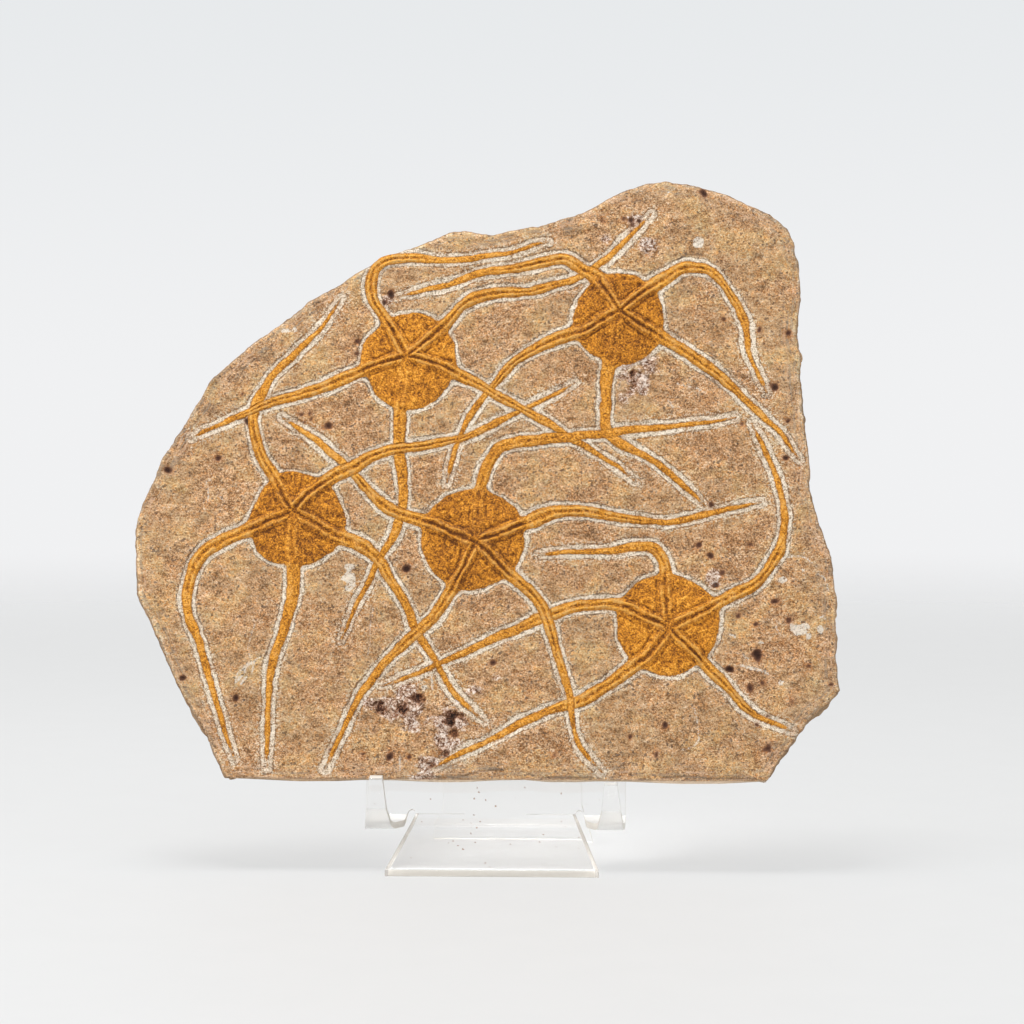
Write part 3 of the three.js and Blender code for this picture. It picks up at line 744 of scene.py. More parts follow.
# Pits in the face: x, y, radius.  A radius below 0 leaves only the brown stain round a pit.
PITS = [
    (-99.5, 93.5, 1.1), (-84.5, 97, 0.6), (-77.5, 116.5, 0.5), (-75.5, 108.5, 1.6),
    (-59.5, 110, 0.6), (-57, 110.5, 0.5), (-56.5, 108.5, 0.6), (-58.5, 108, 0.5),
    (-51.5, 106.5, 1.2), (-43.5, 133.5, 0.7), (-43, 129.5, 0.7), (-33, 148, 1.1),
    (-35, 145.5, 0.9), (31.5, 171.5, 0.4), (38, 172, 0.5), (40, 171.5, 0.8), (42.5, 171, 0.7),
    (40.5, 170, 0.7), (40, 167.5, 0.7), (62, 180, 1.2), (43, 128, 0.9), (40, 117, 0.4),
    (68, 140, 0.7), (78.5, 136.5, 0.6), (87, 135.5, 0.9), (83, 118.5, 1.2), (87, 108.5, 0.7),
    (86.5, 102.5, 0.8), (86.5, 96.5, 0.9), (73, 107.5, 0.5), (64, 82.5, 0.6), (60, 70.5, 0.7),
    (63.5, 67.5, 0.9), (67, 62.5, 0.9), (65, 58.5, 0.9), (75, 70.5, 0.6), (86, 74, 0.8),
    (72, 49, 0.8), (83, 54, 0.9), (87, 48, 0.7), (77.5, 46.5, 0.7), (77.5, 37, 1.5), (69, 33, 1.2),
    (75.5, 27.5, 0.9), (79, 29.5, 0.8), (93, 34, 0.8), (99, 28.5, 0.7), (87.5, 23.5, 0.6),
    (80.5, 19.5, 0.5), (77.5, 16.5, 0.6), (80.5, 9.5, 1.4), (50, 16.5, 0.9), (47.5, 8.5, 0.6),
    (40, 13, 0.5), (18, 7.5, 0.5), (-0.5, 35, 0.9), (-26.5, 63, 1.1), (-93, 29.5, 1.0),
    (-77, 24, 0.7), (-88.5, 63.5, 0.5), (-31, 6.5, 0.9), (-25.5, 6.5, 0.6), (-25.5, 28.5, 0.5),
    (-48.5, 9, 0.5), (-38.5, 8, 0.4), (50.5, 169, -0.2), (51.5, 167, -0.3), (52.5, 164.5, -0.3),
    (84, 65, -0.2), (86.5, 63, -0.3), (-71, 47, -0.4), (-20, 66, -0.3), (28, 60, -0.3),
    (12, 108, -0.3), (-66, 96, -0.3),
]

# Hollows lined with dark, rusty crystals: x, y, radius.
RUSTY_HOLLOWS = [
    (-33.5, 21.5, 1.6), (-27.5, 21, 1.9), (-23.5, 24.5, 1.7), (-29.5, 18.5, 1.1), (-12, 18.3, 2.5),
    (-11.5, 13.5, 1.6), (-15, 7, 1.6), (-17.5, 4, 1.3), (40, 123, 1.5), (41.5, 120.5, 1.1),
]

# Pale crusts of small crystals: x, y, radius.
CRUSTS = [
    (-33, 22, 4.2), (-26.5, 21, 5.2), (-12, 17.5, 3.8), (-14, 10.5, 3.8), (-18, 5, 4.2),
    (41, 121, 4), (38, 126, 2.5), (45, 126, 3), (37, 115, 2), (41, 171, 2.8), (-34, 147, 2.2),
    (64, 60, 3), (-6, 26, 2), (0.5, 30.5, 1.3), (32, 165.5, 1.5), (45, 163, 3), (30.5, 114.5, 1.6),
    (-21, 0.5, 4),
]

# Patches of white chalk on the face: x, y, radius.
CHALK_PATCHES = [
    (88, 45.5, 1.2), (90.5, 44, 1.9), (92.5, 43, 1.0), (96, 45.5, 0.8), (-44, 63.5, 1.3),
    (-44, 60.5, 1.9), (-43.5, 57.5, 1.2), (60, 164, 1.4), (-64.5, 136.5, 1.0), (-62, 137, 0.6),
    (85, 60.5, 0.8), (91, 63, 0.6), (79, 41, 0.6), (84.5, 29.5, 0.6), (95, 21.5, 0.5),
    (-21, 27.5, 0.8),
]

# Dark cracks and stains in the face: points, and half width.
STAINS = [
    ([(83.5, 64.5), (87, 61.5), (92, 58), (96, 54.5), (99.5, 51)], 0.12),
    ([(62, 130.5), (65.5, 128), (71, 123), (75.5, 118)], 0.18),
    ([(54, 158.5), (57, 160), (61, 160)], 0.35), ([(-37, 50), (-37.5, 45)], 0.1),
    ([(-66, 139), (-58, 144.5), (-52, 147)], 0.15),
    ([(-96, 103), (-92, 107.5), (-88.5, 113.5)], 0.12),
    ([(-80, 120), (-76, 126), (-70, 130)], 0.15),
    ([(-21, 0.6), (-14, 0.9), (-9, 1.4), (-3, 2.4), (3, 2.8), (8, 2.4), (14, 0.8)], 0.2),
    ([(14, 0.7), (22, 0.9), (29, 0.7)], 0.25), ([(42, 0.3), (46, 0.4)], 0.35),
    ([(49, 0.6), (55, 0.9), (66, 0.9), (76, 0.7), (80, 0.5)], 0.3),
]

# Scratches left by the digging tools: points, and half width.
SCRATCHES = [
    ([(59, 22), (60, 16.5), (60, 11.5), (57.5, 9.5), (55, 8.5)], 0.2),
    ([(86.5, 67.5), (89, 67.5), (92, 67), (94, 65.5)], 0.3),
    ([(95.5, 62), (97.5, 61), (98, 59), (98.5, 57)], 0.25),
    ([(95.5, 49), (97, 49.5), (97.5, 48.5)], 0.25),
    ([(82.5, 50), (83.5, 47), (83, 45.5), (84.5, 43)], 0.2),
    ([(72.5, 34), (75.5, 33.5), (78, 33), (80.5, 32)], 0.35), ([(73, 37.5), (74.5, 36)], 0.35),
    ([(69.5, 43.5), (71, 42.5)], 0.3), ([(53.5, 120), (57, 119), (60, 118), (62.5, 116.5)], 0.25),
    ([(52.5, 112.5), (51, 114.5)], 0.3),
    ([(-71.5, 46.5), (-73, 41), (-73, 37.5), (-72, 36)], 0.15),
    ([(-69.5, 36), (-73, 34), (-76, 31.5), (-77, 29)], 0.25), ([(-73.5, 34.5), (-74, 31.5)], 0.25),
    ([(-71, 35), (-72, 31.5)], 0.25), ([(50, 179), (52, 180.5), (53.5, 181.5)], 0.15),
    ([(60.5, 66), (62, 64)], 0.2), ([(-19, 30.5), (-18.5, 27)], 0.35),
    ([(-27.5, 2.5), (-28, 6.5)], 0.25), ([(19.5, 23.5), (21, 19)], 0.15),
    ([(-88, 90), (-87, 83.5)], 0.2), ([(-85, 86), (-82.5, 83.5)], 0.2),
    ([(-36.5, 51.5), (-37, 47), (-37.5, 41.5), (-38, 37)], 0.1),
    ([(-77, 28.5), (-75, 30.5)], 0.35), ([(-75.5, 28), (-73.5, 30.5)], 0.3),
    ([(-88, 26), (-86, 20)], 0.1),
]

slab_random = np.random.default_rng(20)
star_edge = np.min([star["edge"] for star in stars.values()], axis=0)
closest = np.argmin([star["edge"] for star in stars.values()], axis=0)
tail = np.choose(closest, [np.where(s["disc"] > 0.5, 0, s["along"]) for s in stars.values()])

# How far each place is outside the broken outline, and how near the sawn edge.
outline = np.full(X.shape, 999.0)
within = np.zeros(X.shape, bool)
for (x0, y0), (x1, y1) in zip(OUTLINE, OUTLINE[1:] + OUTLINE[:1]):
    dx, dy = x1 - x0, y1 - y0
    f = np.clip(((X - x0) * dx + (Y - y0) * dy) / (dx * dx + dy * dy), 0, 1)
    outline = np.minimum(outline, np.hypot(X - x0 - f * dx, Y - y0 - f * dy))
    if y0 != y1:
        crosses = (y0 > Y) != (y1 > Y)
        within ^= crosses & (X < dx * (Y - y0) / (y1 - y0) + x0)
outline = np.where(within, -outline, outline)
broken = step(0.5, 5, Y)
breakage = 0.28 * lumps(9, 21) + 0.09 * lumps(2.6, 22) + 0.07 * lumps(0.8, 23) + 0.05
outline = outline + broken * breakage

# The groove round the stars, wider and shallower at the tails, and the beds under them.
rock = 0.13 * lumps(3.4, 26) + 0.09 * lumps(1.5, 27)
trench_width = (TRENCH_WIDTH + 0.25 * lumps(6, 29) + 0.4 * step(0.5, 1, tail)).clip(0.8)
trench_depth = (TRENCH_DEPTH - 0.1 * step(0.45, 1, tail)) * (1 + 0.35 * lumps(5, 31)).clip(0.3)
trench_wall = 0.25 + 0.12 * np.abs(lumps(3, 39))
trench = -trench_depth * step(trench_width + 0.1, trench_width - trench_wall, star_edge)
under_stars = -BED_DEPTH * step(-0.2, -0.85, star_edge)


def depth_inside(spots, wobble):
    """How far each place is inside the nearest of some round spots."""
    inside = np.full(X.shape, -3.0)
    for x, y, radius in spots:
        i0, i1 = np.searchsorted(across, (x - radius - 3, x + radius + 3))
        j0, j1 = np.searchsorted(up, (y - radius - 3, y + radius + 3))
        window = (slice(i0, i1), slice(j0, j1))
        away = np.hypot(waver_x[window] - x, (waver_y[window] - y) * slab_random.uniform(0.8, 1.3))
        inside[window] = np.maximum(inside[window], radius - away - wobble[window] * radius)
    return inside


def beside_strokes(strokes):
    """How far each place is from the nearest of some narrow strokes; below 0 is on one."""
    gap = np.full(X.shape, 3.0)
    for points, half in strokes:
        gap = np.minimum(gap, line_distance(*centre_line(points, 4), 3)[0] - half)
    return gap


pit = depth_inside(PITS, 0.2 * lumps(1.0, 32))
rusty = depth_inside(RUSTY_HOLLOWS, 0.35 * lumps(1.1, 33))
crust = depth_inside(CRUSTS, 0.22 * lumps(2.0, 34))
crystals = 0.28 * lumps(0.8, 35) * step(-0.5, 0.8, np.maximum(crust, rusty))
chalk_patch = depth_inside(CHALK_PATCHES, 0.35 * lumps(1.2, 38))
scratch = np.minimum(beside_strokes(SCRATCHES), -chalk_patch)
stain = beside_strokes(STAINS)

outside_stars = step(-0.2, 0.4, star_edge)
face = undulation + rock * (0.35 + 0.65 * step(0, 2, star_edge)) + trench + under_stars
sunk = PIT_DEPTH * step(-0.2, 1.1, pit) + HOLLOW_DEPTH * step(-0.3, 1.4, rusty)
face = face + crystals - sunk * outside_stars
face = face - (0.1 * step(0.3, -0.2, scratch) + 0.12 * step(0.2, -0.1, stain)) * outside_stars
from_border = 1 - (-outline / ROUNDING_REACH).clip(0, 1)
rounding = (EDGE_ROUNDING * broken + SAWN_ROUNDING) * (1 - np.sqrt(1 - from_border**2))
face = face * step(0, 1.0, -outline) - rounding
# How hollow the face is, for painted shade in its hollows and painted light on its bumps.
face_hollow_shade = (softened(face, 1.25) - face).clip(-0.4, 0.4) * 4

# The face's mesh: a coarse grid, finer where there is detail.
shape = grid_over((-114, -6), (106, 187), FACE_GRID)
values = values_at(shape, outline)
shape.verts.index_update()
outer = [f for f in shape.faces if min(values[v.index] for v in f.verts) > 0.6]
bmesh.ops.delete(shape, geom=outer, context="FACES")
detail = (np.abs(star_edge - 0.6) < 1.1) | (outline > -1.4) | (np.minimum(scratch, stain) < 0.5)
detail = detail | (np.maximum(pit, rusty) > -0.6) | (crust > 0)
detailed = values_at(shape, detail.astype(float))
shape.verts.index_update()
close_up = [f for f in shape.faces if max(detailed[v.index] for v in f.verts) > 0]
edges = list(dict.fromkeys(e for f in close_up for e in f.edges))
bmesh.ops.subdivide_edges(shape, edges=edges, cuts=1, use_grid_fill=True)
trim(shape, outline)
heights = values_at(shape, face)
for vert, z in zip(shape.verts, heights):
    vert.co.z = z

# The sides: courses of broken rock that step in and out, level with the bedding.
border = [e for e in shape.edges if e.is_boundary]
slope_x, slope_y = np.gradient(outline, GRAIN)
face_verts = set(shape.verts)
rows = [-1.2, -2.1, -3.3, -4.5, -5.8, -7.1, -8.4, -9.7, -11, -12.1, -12.7, -13]
course = {z: slab_random.uniform(-0.45, 0.45) for z in rows}
start = {}
for vert in dict.fromkeys(v for e in border for v in e.verts):
    x, y = vert.co[:2]
    gx, gy = float(at(slope_x, x, y)), float(at(slope_y, x, y))
    length = max(sqrt(gx * gx + gy * gy), 1e-6)
    start[vert] = (x, y, gx / length, gy / length)
side_noise = [lumps(5, 40 + k) * 0.35 + lumps(1.6, 60 + k) * 0.2 for k in range(4)]
for number, z in enumerate(rows):
    grown = bmesh.ops.extrude_edge_only(shape, edges=border)["geom"]
    border = [part for part in grown if isinstance(part, bmesh.types.BMEdge)]
    new_start = {}
    for vert in (part for part in grown if isinstance(part, bmesh.types.BMVert)):
        old = next(e.other_vert(vert) for e in vert.link_edges if e.other_vert(vert) in start)
        x, y, nx, ny = start[old]
        turn = atan2(MIDDLE[1] - y, MIDDLE[0] - x) % (2 * pi)
        sawn = y < 0.4
        bulk = 0.5 + 0.3 * sin(turn * 9 + z * 1.7) + 0.2 * sin(turn * 23 - z * 0.9)
        inset = LEDGE_DEPTH * bulk * min(1, -z / THICKNESS * 2)
        rough = float(at(side_noise[number // 3], x, y + z * 0.3))
        inset += (course[z] + rough) * min(1, -z / 3)
        height = z
        if sawn:
            height = OVERHANG_ROWS[number] if number < len(OVERHANG_ROWS) else z
            hang = np.interp(x, *zip(*OVERHANG)) * min(1, height / OVERHANG_ROWS[-1])
            inset = 0.04 * rough - hang + UNDERCUT * max(0, OVERHANG_ROWS[-1] - height)
        back_rounding = max(0, -z - THICKNESS + BACK_ROUNDING)
        inset += back_rounding * back_rounding * 0.9
        vert.co = (x - nx * inset, y - ny * inset, height)
        new_start[vert] = (x, y, nx, ny)
    start = new_start

# The back: rough split rock.
filled = bmesh.ops.triangle_fill(shape, use_beauty=True, use_dissolve=False, edges=border)["geom"]
back = [part for part in filled if isinstance(part, bmesh.types.BMFace)]
back = list(dict.fromkeys(part for f in back for part in (f, *f.edges, *f.verts)))
for axis, first, last in (((1, 0, 0), -105, 100), ((0, 1, 0), 3, 180)):
    for offset in range(first, last, BACK_GRID):
        where = tuple(offset * part for part in axis)
        cut = bmesh.ops.bisect_plane(shape, geom=back, dist=1e-4, plane_co=where, plane_no=axis)
        back = cut["geom"]
back_relief = (0.3 + 0.14 * lumps(9, 36) + 0.08 * lumps(3.5, 37)).clip(0)
for vert in (part for part in back if isinstance(part, bmesh.types.BMVert)):
    if all(abs(f.normal.z) >= 0.9 for f in vert.link_faces):
        vert.co.z += float(at(back_relief, *vert.co[:2]))

# Sandstone: pinkish tan with yellow and grey patches and dark grains, cream where it is scraped.
TAN_TONES = [
    (0.0, (0.16, 0.080, 0.033)), (0.25, (0.355, 0.195, 0.088)), (0.5, (0.55, 0.333, 0.166)),
    (0.75, (0.71, 0.475, 0.27)), (1.0, (0.94, 0.76, 0.55)),
]
PINK_TINT = (1.0, 0.93, 0.90)
OLIVE_TINT = (0.95, 0.95, 0.84)
GREY_TINT = (0.86, 0.91, 0.96)
RUST_TINT = (1.0, 0.84, 0.62)
SPECK = (0.10, 0.06, 0.04)
RUSTY_GRAIN = (1.10, 0.85, 0.56)
BLUISH_GRAIN = (0.86, 0.97, 1.16)
BORDER_SHADE = (0.30, 0.21, 0.14)
SCRAPED_TONES = [(0.0, (0.20, 0.14, 0.09)), (0.3, (0.56, 0.45, 0.32)), (0.7, (0.93, 0.81, 0.66))]
SCRAPED = (0.80, 0.69, 0.53)
# Dark brown of the painted shade in the groove, and of the cracks.
GROOVE_SHADE_AND_CRACKS = (0.13, 0.09, 0.06)
BED_GREY = (0.33, 0.265, 0.20)
BED_PINK = (0.70, 0.47, 0.32)
CRYSTAL_TONES = [
    (0.0, (0.045, 0.014, 0.008)), (0.3, (0.27, 0.125, 0.07)), (0.6, (0.60, 0.42, 0.31)),
    (1.0, (0.97, 0.86, 0.78)),
]
RUST_TONES = [(0.0, (0.012, 0.005, 0.003)), (0.5, (0.15, 0.045, 0.016)), (1.0, (0.56, 0.27, 0.13))]
PIT_TONES = [(0.0, (0.30, 0.15, 0.08)), (0.5, (0.13, 0.055, 0.032)), (1.0, (0.040, 0.017, 0.012))]
PIT_STAIN = (0.66, 0.45, 0.32)
ORANGE_SPECK = (0.50, 0.21, 0.045)
CHALK = (0.86, 0.79, 0.68)
LAYER_TONES = [(0.3, (0.23, 0.135, 0.07)), (0.5, (0.44, 0.275, 0.15)), (0.7, (0.62, 0.445, 0.27))]
SAWN = (0.76, 0.59, 0.43)

sandstone = Finish(bpy.data.materials.new("tan_sandstone"))
place = sandstone.place(turn=(pi / 2 - SLAB_LEAN, 0, 0))
edge = sandstone.mark("edge")
tail_mark = sandstone.mark("tail")
hollow = sandstone.mark("hollow")
pit_mark = sandstone.mark("pit")
rusty_mark = sandstone.mark("rusty")
rim_mark = sandstone.mark("rim")
patches = sandstone.grain(place, 24, 3, 0.55)
patches_two = sandstone.grain(place, 9, 4, 0.6)
bedding = sandstone.place(turn=(pi / 2 - SLAB_LEAN, 0, 0), unit=(0.0017, 0.001, 0.001))
mottle = sandstone.grain(bedding, 2.2, 4, 0.78)
fine = sandstone.grain(place, 0.5, 3, 0.75)
grains = sandstone.speckle(place, 0.32)
crumbs = sandstone.speckle(place, 0.6)
coarseness = patches.rise(0.35, 0.65) * 0.45 + 0.69
tone = (grains * 0.5 + fine * 2.0 - 1.25) * coarseness
# Painted shade darkens the hollows of the face, and painted light brightens its bumps.
tone = tone + mottle * 1.6 + patches_two * 0.8 - 0.71 - hollow * 0.4
greyed = sandstone.grain(bedding, 3, 4, 0.78) + (fine - 0.5) * 0.5
hues = sandstone.speckle(place, 0.5) + fine * 0.4
colour = sandstone.coats(sandstone.ramp(tone, TAN_TONES), [
    ((patches + mottle * 0.3).rise(0.56, 0.72), PINK_TINT, "MULTIPLY"),
    ((patches_two + fine * 0.3).rise(0.64, 0.76), OLIVE_TINT, "MULTIPLY"),
    (greyed.rise(0.5, 0.64), GREY_TINT, "MULTIPLY"),
    ((mottle + patches_two * 0.6).rise(0.86, 1.0) * 0.8, RUST_TINT, "MULTIPLY"),
    ((crumbs + (mottle - 0.5) * 0.5).rise(0.92, 0.97) * 0.75, SPECK),
    (hues.rise(0.95, 1.05) * 0.6, RUSTY_GRAIN, "MULTIPLY"),
    (hues.rise(0.42, 0.34) * 0.6, BLUISH_GRAIN, "MULTIPLY"),
])

# The groove: a scraped cream line with dark grains in it, and broken painted shade along its outer
# wall and along the star's edge.
ragged = edge + (mottle - 0.5) * 1.1 + (fine - 0.5) * 1.1
past_halo = ragged - ((patches_two - 0.5) * 1.8 + tail_mark.rise(0.4, 1.0) * 0.35 + 1.05)
halo = ragged.rise(0.05, 0.3) * past_halo.rise(0.12, -0.12)
halo_strength = (patches_two + mottle * 0.9).rise(0.78, 1.0) * 0.5 + 0.47
halo_strength = halo_strength - tail_mark.rise(0.8, 1.0) * 0.25
halo_tone = grains * 0.75 + fine * 2.2 + mottle * 1.0 - 1.4
shoulder = past_halo.rise(tail_mark.rise(0.4, 0.9) * 1.8 + 0.9, 0.1)
orange = shoulder * tail_mark.rise(0.45, 0.75) * (crumbs + (mottle - 0.5)).rise(0.66, 0.72)
outer_groove_shade = (past_halo - 0.25).size().rise(0.3, 0.08) * (crumbs * 0.4 + mottle).rise(0.58, 0.73)
inner_groove_shade = (edge - 0.15).size().rise(0.3, 0.1) * (crumbs * 0.5 + mottle).rise(0.8, 0.92)
colour = sandstone.coats(colour, [
    (shoulder * (grains * 0.5 + fine).rise(0.76, 0.88) * 0.75, SCRAPED),
    (orange * 0.8, ORANGE_SPECK),
    (halo * halo_strength, sandstone.ramp(halo_tone, SCRAPED_TONES)),
    (outer_groove_shade * 0.75, GROOVE_SHADE_AND_CRACKS), (inner_groove_shade * 0.8, GROOVE_SHADE_AND_CRACKS),
])

# Beds of grey and pink rock that come out along the broken border, and broken painted shade on the
# rounded edge itself.
border_place = sandstone.node("CombineXYZ", None, {
    "X": rim_mark * 1.1, "Y": patches_two * 4, "Z": patches * 9,
})
beds = sandstone.grain(sandstone.wire(border_place), 1, 3, 0.6)
near_border = (rim_mark + (patches_two - 0.5) * 12).rise(6.5, 2.0)
shaded_border = (rim_mark + (fine - 0.5) * 0.8).rise(0.6, 0.15)
colour = sandstone.coats(colour, [
    (near_border * beds.rise(0.52, 0.62) * 0.55, BED_GREY),
    (near_border * beds.rise(0.45, 0.38) * 0.5, BED_PINK),
    (shaded_border * (patches_two + mottle * 0.5).rise(0.6, 0.75) * 0.5, BORDER_SHADE),
])

# Pits, crusts, hollows of rusty crystals, cracks and chalk.
clusters = sandstone.speckle(place, 0.8)
crystal_tone = clusters * 0.8 + grains * 0.5 + fine * 2.4 + mottle * 0.8 - 1.72
crusts = (sandstone.mark("crust") + (mottle - 0.5) * 5 + (fine - 0.5) * 3).rise(-0.4, 1.2)
rust_tone = clusters * 0.6 + grains * 0.4 + fine * 3.0 - rusty_mark * 0.25 - 1.45
rust = (rusty_mark + (mottle - 0.5) * 4 + (fine - 0.5) * 7).rise(0.1, 0.6)
pit_tone = pit_mark * 0.9 + (fine - 0.5) * 1.6 + 0.3
pits = (pit_mark + (mottle - 0.5) * 0.9 + (fine - 0.5) * 1.3).rise(-0.2, 0.1)
cracks = (sandstone.mark("stain") + (fine - 0.5) * 1.2).rise(0.35, -0.15)
chalk = (sandstone.mark("scratch") + (fine - 0.5) * 1.6).rise(0.15, -0.15)
colour = sandstone.coats(colour, [
    ((pit_mark + (mottle - 0.5) * 2).rise(-1.3, 0.0) * 0.6, PIT_STAIN, "MULTIPLY"),
    (crusts * 0.85, sandstone.ramp(crystal_tone, CRYSTAL_TONES)),
    (rust * 0.95, sandstone.ramp(rust_tone, RUST_TONES)),
    (pits * 0.93, sandstone.ramp(pit_tone, PIT_TONES)),
    (cracks * (mottle + grains * 0.2).rise(0.45, 0.65) * 0.7, GROOVE_SHADE_AND_CRACKS),
    (chalk * (mottle + grains * 0.3).rise(0.42, 0.65) * 0.75, CHALK),
])

# The sides: thin layers, and the smooth cream of the sawn edge.
layer_place = sandstone.place(turn=(pi / 2 - SLAB_LEAN, 0, 0), unit=(0.008, 0.008, 0.0009))
layers = sandstone.grain(layer_place, 1, 4, 0.65, 0.6)
side_colour = sandstone.ramp(layers + (grains - 0.5) * 0.15 + (fine - 0.5) * 0.3, LAYER_TONES)
side_colour = sandstone.blend(sandstone.mark("sawn"), side_colour, SAWN)
colour = sandstone.blend(sandstone.mark("side") * 0.9, colour, side_colour)
bumps = fine * 0.8 + mottle * 1.8 + grains * 0.08 + sandstone.grain(place, 5, 3, 0.6) * 1.2
sandstone_finish = sandstone.surface({
    "Base Color": colour, "Roughness": fine * 0.2 + 0.78, "Specular IOR Level": 0.25,
    "Normal": sandstone.relief(bumps),
})

vert_heights = np.array([vert.co.z for vert in shape.verts])
vert_ups = np.array([vert.co.y for vert in shape.verts])
on_side = np.array([vert not in face_verts for vert in shape.verts], float)
on_sawn = on_side * (vert_ups < 1.2) * (vert_heights > -THICKNESS + 0.3)
on_sawn *= 0.2 + 0.8 * step(-40, -30, np.array([vert.co.x for vert in shape.verts]))
mesh = mesh_with_marks("sandstone_slab_rock", shape, {
    "edge": star_edge, "tail": tail, "hollow": face_hollow_shade, "pit": pit, "rusty": rusty,
    "crust": crust, "scratch": scratch, "stain": stain, "rim": (-outline).clip(0),
})
mesh.attributes.new("side", "FLOAT", "POINT").data.foreach_set("value", on_side)
mesh.attributes.new("sawn", "FLOAT", "POINT").data.foreach_set("value", on_sawn)
slab = add_piece("sandstone_slab_rock", mesh, sandstone_finish)
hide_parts("sandstone_slab")
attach(slab, "root")

# ---- Acrylic easel ----------------------------------------------------------------------------
# One strip of clear 2 mm acrylic, cut to shape and bent hot: a panel that leans back, a tongue
# that runs down to the front foot, a leg folded down behind, and two hooks that hold the slab.
# Millimetres: x across from the middle of the tongue, y back from the slab's edge, z up.

SHEET = 2
ARRIS = 0.25
ARRIS_ANGLE = radians(50)
BEND_STEP = 5  # degrees
PANEL_HEADING = 75.5  # degrees from level
PANEL_RUN = 66.9
PANEL_HALF = 38.7  # half width of the panel
TONGUE_HALF = 23.7  # half width of the tongue where it meets the panel
TONGUE_START = (-12.1, 1.0)
TONGUE_FOOT = 1.6  # length of the level foot
TONGUE_RISE = 27.84  # degrees
TONGUE_RUN = 20.57
TONGUE_BENDS = (3, 6)  # radius at the foot and at the panel
TONGUE_WIDTHS = [(1, 31.1), (11, 25.4), (14.8, TONGUE_HALF)]  # height, half width
TRIM_START = 22.9  # the tongue is frosted from here to its sides
LEG_OFFSET = 3.4
LEG_HEADING = -80.8  # degrees from level
LEG_HALF = 21.5
LEG_BEND = 6
LEG_FLARE = (12, 25)  # length that flares, and the half width of the foot
LEG_CUT = 0.16  # height at which the leg's foot is cut level
HOOK_HALF = 26.2  # inner side of the hooks where they leave the panel
HOOK_BEND = 3.2
HOOK_SEAT = 3.9  # level length that the slab stands on
LIP_TURN = -70  # degrees
LIPS = {-1: 14.2, 1: 12.4}  # length of the left lip and of the right one
HOOK_RUNS = [  # distance from the panel, inner side, outer side
    (0, HOOK_HALF, PANEL_HALF), (5, 27.3, 38.6), (8, 28.9, 38.4), (11, 30.4, 38.1),
    (16, 31.6, 37.5), (27, 32.5, 36.3),
]
HOOK_HAZE = (9, 17)  # heights between which the bent acrylic is hazy
NOTCH_ROUND = [(TONGUE_HALF, 0), (24.1, 0.9), (24.9, 1.3), (25.8, 0.9), (HOOK_HALF, 0)]
NOTCH_REACH = 2.5  # the rounding of the notches is spread over this much of the panel
HOOK_COLUMNS = [HOOK_HALF, 30.4, 34.5, PANEL_HALF]
MIDDLE_COLUMNS = [LEG_OFFSET - LEG_HALF, -9, 0, 9, 16]
HALF_COLUMNS = [TRIM_START, *(x for x, _ in NOTCH_ROUND), *HOOK_COLUMNS[1:]]


def bent_path(place, heading, moves):
    """Run, y, z and heading along a strip: each move is a length, or a radius and a turn."""
    run, (y, z) = 0, place
    path = [(run, y, z, heading)]
    for length, *turns in moves:
        steps = max(2, round(abs(turns[0]) / BEND_STEP)) if turns else 4
        turn = turns[0] / steps if turns else 0
        stride = 2 * length * sin(radians(abs(turn)) / 2) if turns else length / steps
        for _ in range(steps):
            mean = radians(heading + turn / 2)
            run, heading = run + stride, heading + turn
            y, z = y + stride * cos(mean), z + stride * sin(mean)
            path.append((run, y, z, heading))
    return path


def bent_strip(sheet, columns, path, place_across):
    """Adds a strip that follows a path; place_across gives where a column is at a place on it."""
    rows = len(path) - 1
    last = len(columns) - 1
    made = bmesh.ops.create_grid(sheet, x_segments=last, y_segments=rows, size=0.5)["verts"]
    for vert in made:
        column = columns[round((vert.co.x + 0.5) * last)]
        station = path[round((vert.co.y + 0.5) * rows)]
        vert.co = (place_across(column, station), station[1], station[2])
    return made


sheet = bmesh.new()
tongue = bent_path(TONGUE_START, 0, [
    (TONGUE_FOOT,), (TONGUE_BENDS[0], TONGUE_RISE), (TONGUE_RUN,),
    (TONGUE_BENDS[1], PANEL_HEADING - TONGUE_RISE),
])
notch = tongue[-1][1:3]


def tongue_across(x, station):
    """The tongue widens towards its foot."""
    return x / TONGUE_HALF * np.interp(station[2], *zip(*TONGUE_WIDTHS))


tongue_columns = [-TONGUE_HALF, -TRIM_START, *MIDDLE_COLUMNS, TRIM_START, TONGUE_HALF]
bent_strip(sheet, tongue_columns, tongue, tongue_across)

# The panel, with rounded notches beside the tongue.
panel_columns = [-x for x in reversed(HALF_COLUMNS)] + MIDDLE_COLUMNS + HALF_COLUMNS
panel = bent_path(notch, PANEL_HEADING, [(NOTCH_REACH,), (PANEL_RUN - NOTCH_REACH,)])
round_top = dict(NOTCH_ROUND)
for vert in bent_strip(sheet, panel_columns, panel, lambda x, station: x):
    rise = round_top.get(round(abs(vert.co.x), 3), 0)
    above = (vert.co.z - notch[1]) / sin(radians(PANEL_HEADING)) / NOTCH_REACH
    if rise and above < 1:
        vert.co.y += rise * (1 - above) * cos(radians(PANEL_HEADING))
        vert.co.z += rise * (1 - above) * sin(radians(PANEL_HEADING))

# The leg, folded down behind the panel and cut off level where it meets the table.
leg_fold = (LEG_BEND, LEG_HEADING - PANEL_HEADING)
leg_top = bent_path(panel[-1][1:3], PANEL_HEADING, [leg_fold])[-1][2]
flare, foot_half = LEG_FLARE
straight = leg_top / cos(radians(LEG_HEADING + 90)) - flare
leg = bent_path(panel[-1][1:3], PANEL_HEADING, [leg_fold, (straight,), (flare + SHEET,)])
leg_run = leg[-1][0] - SHEET


def leg_across(x, station):
    """The leg flares at its foot."""
    half = np.interp(station[0], [leg_run - flare, leg_run], [LEG_HALF, foot_half])
    return LEG_OFFSET + (x - LEG_OFFSET) * half / LEG_HALF


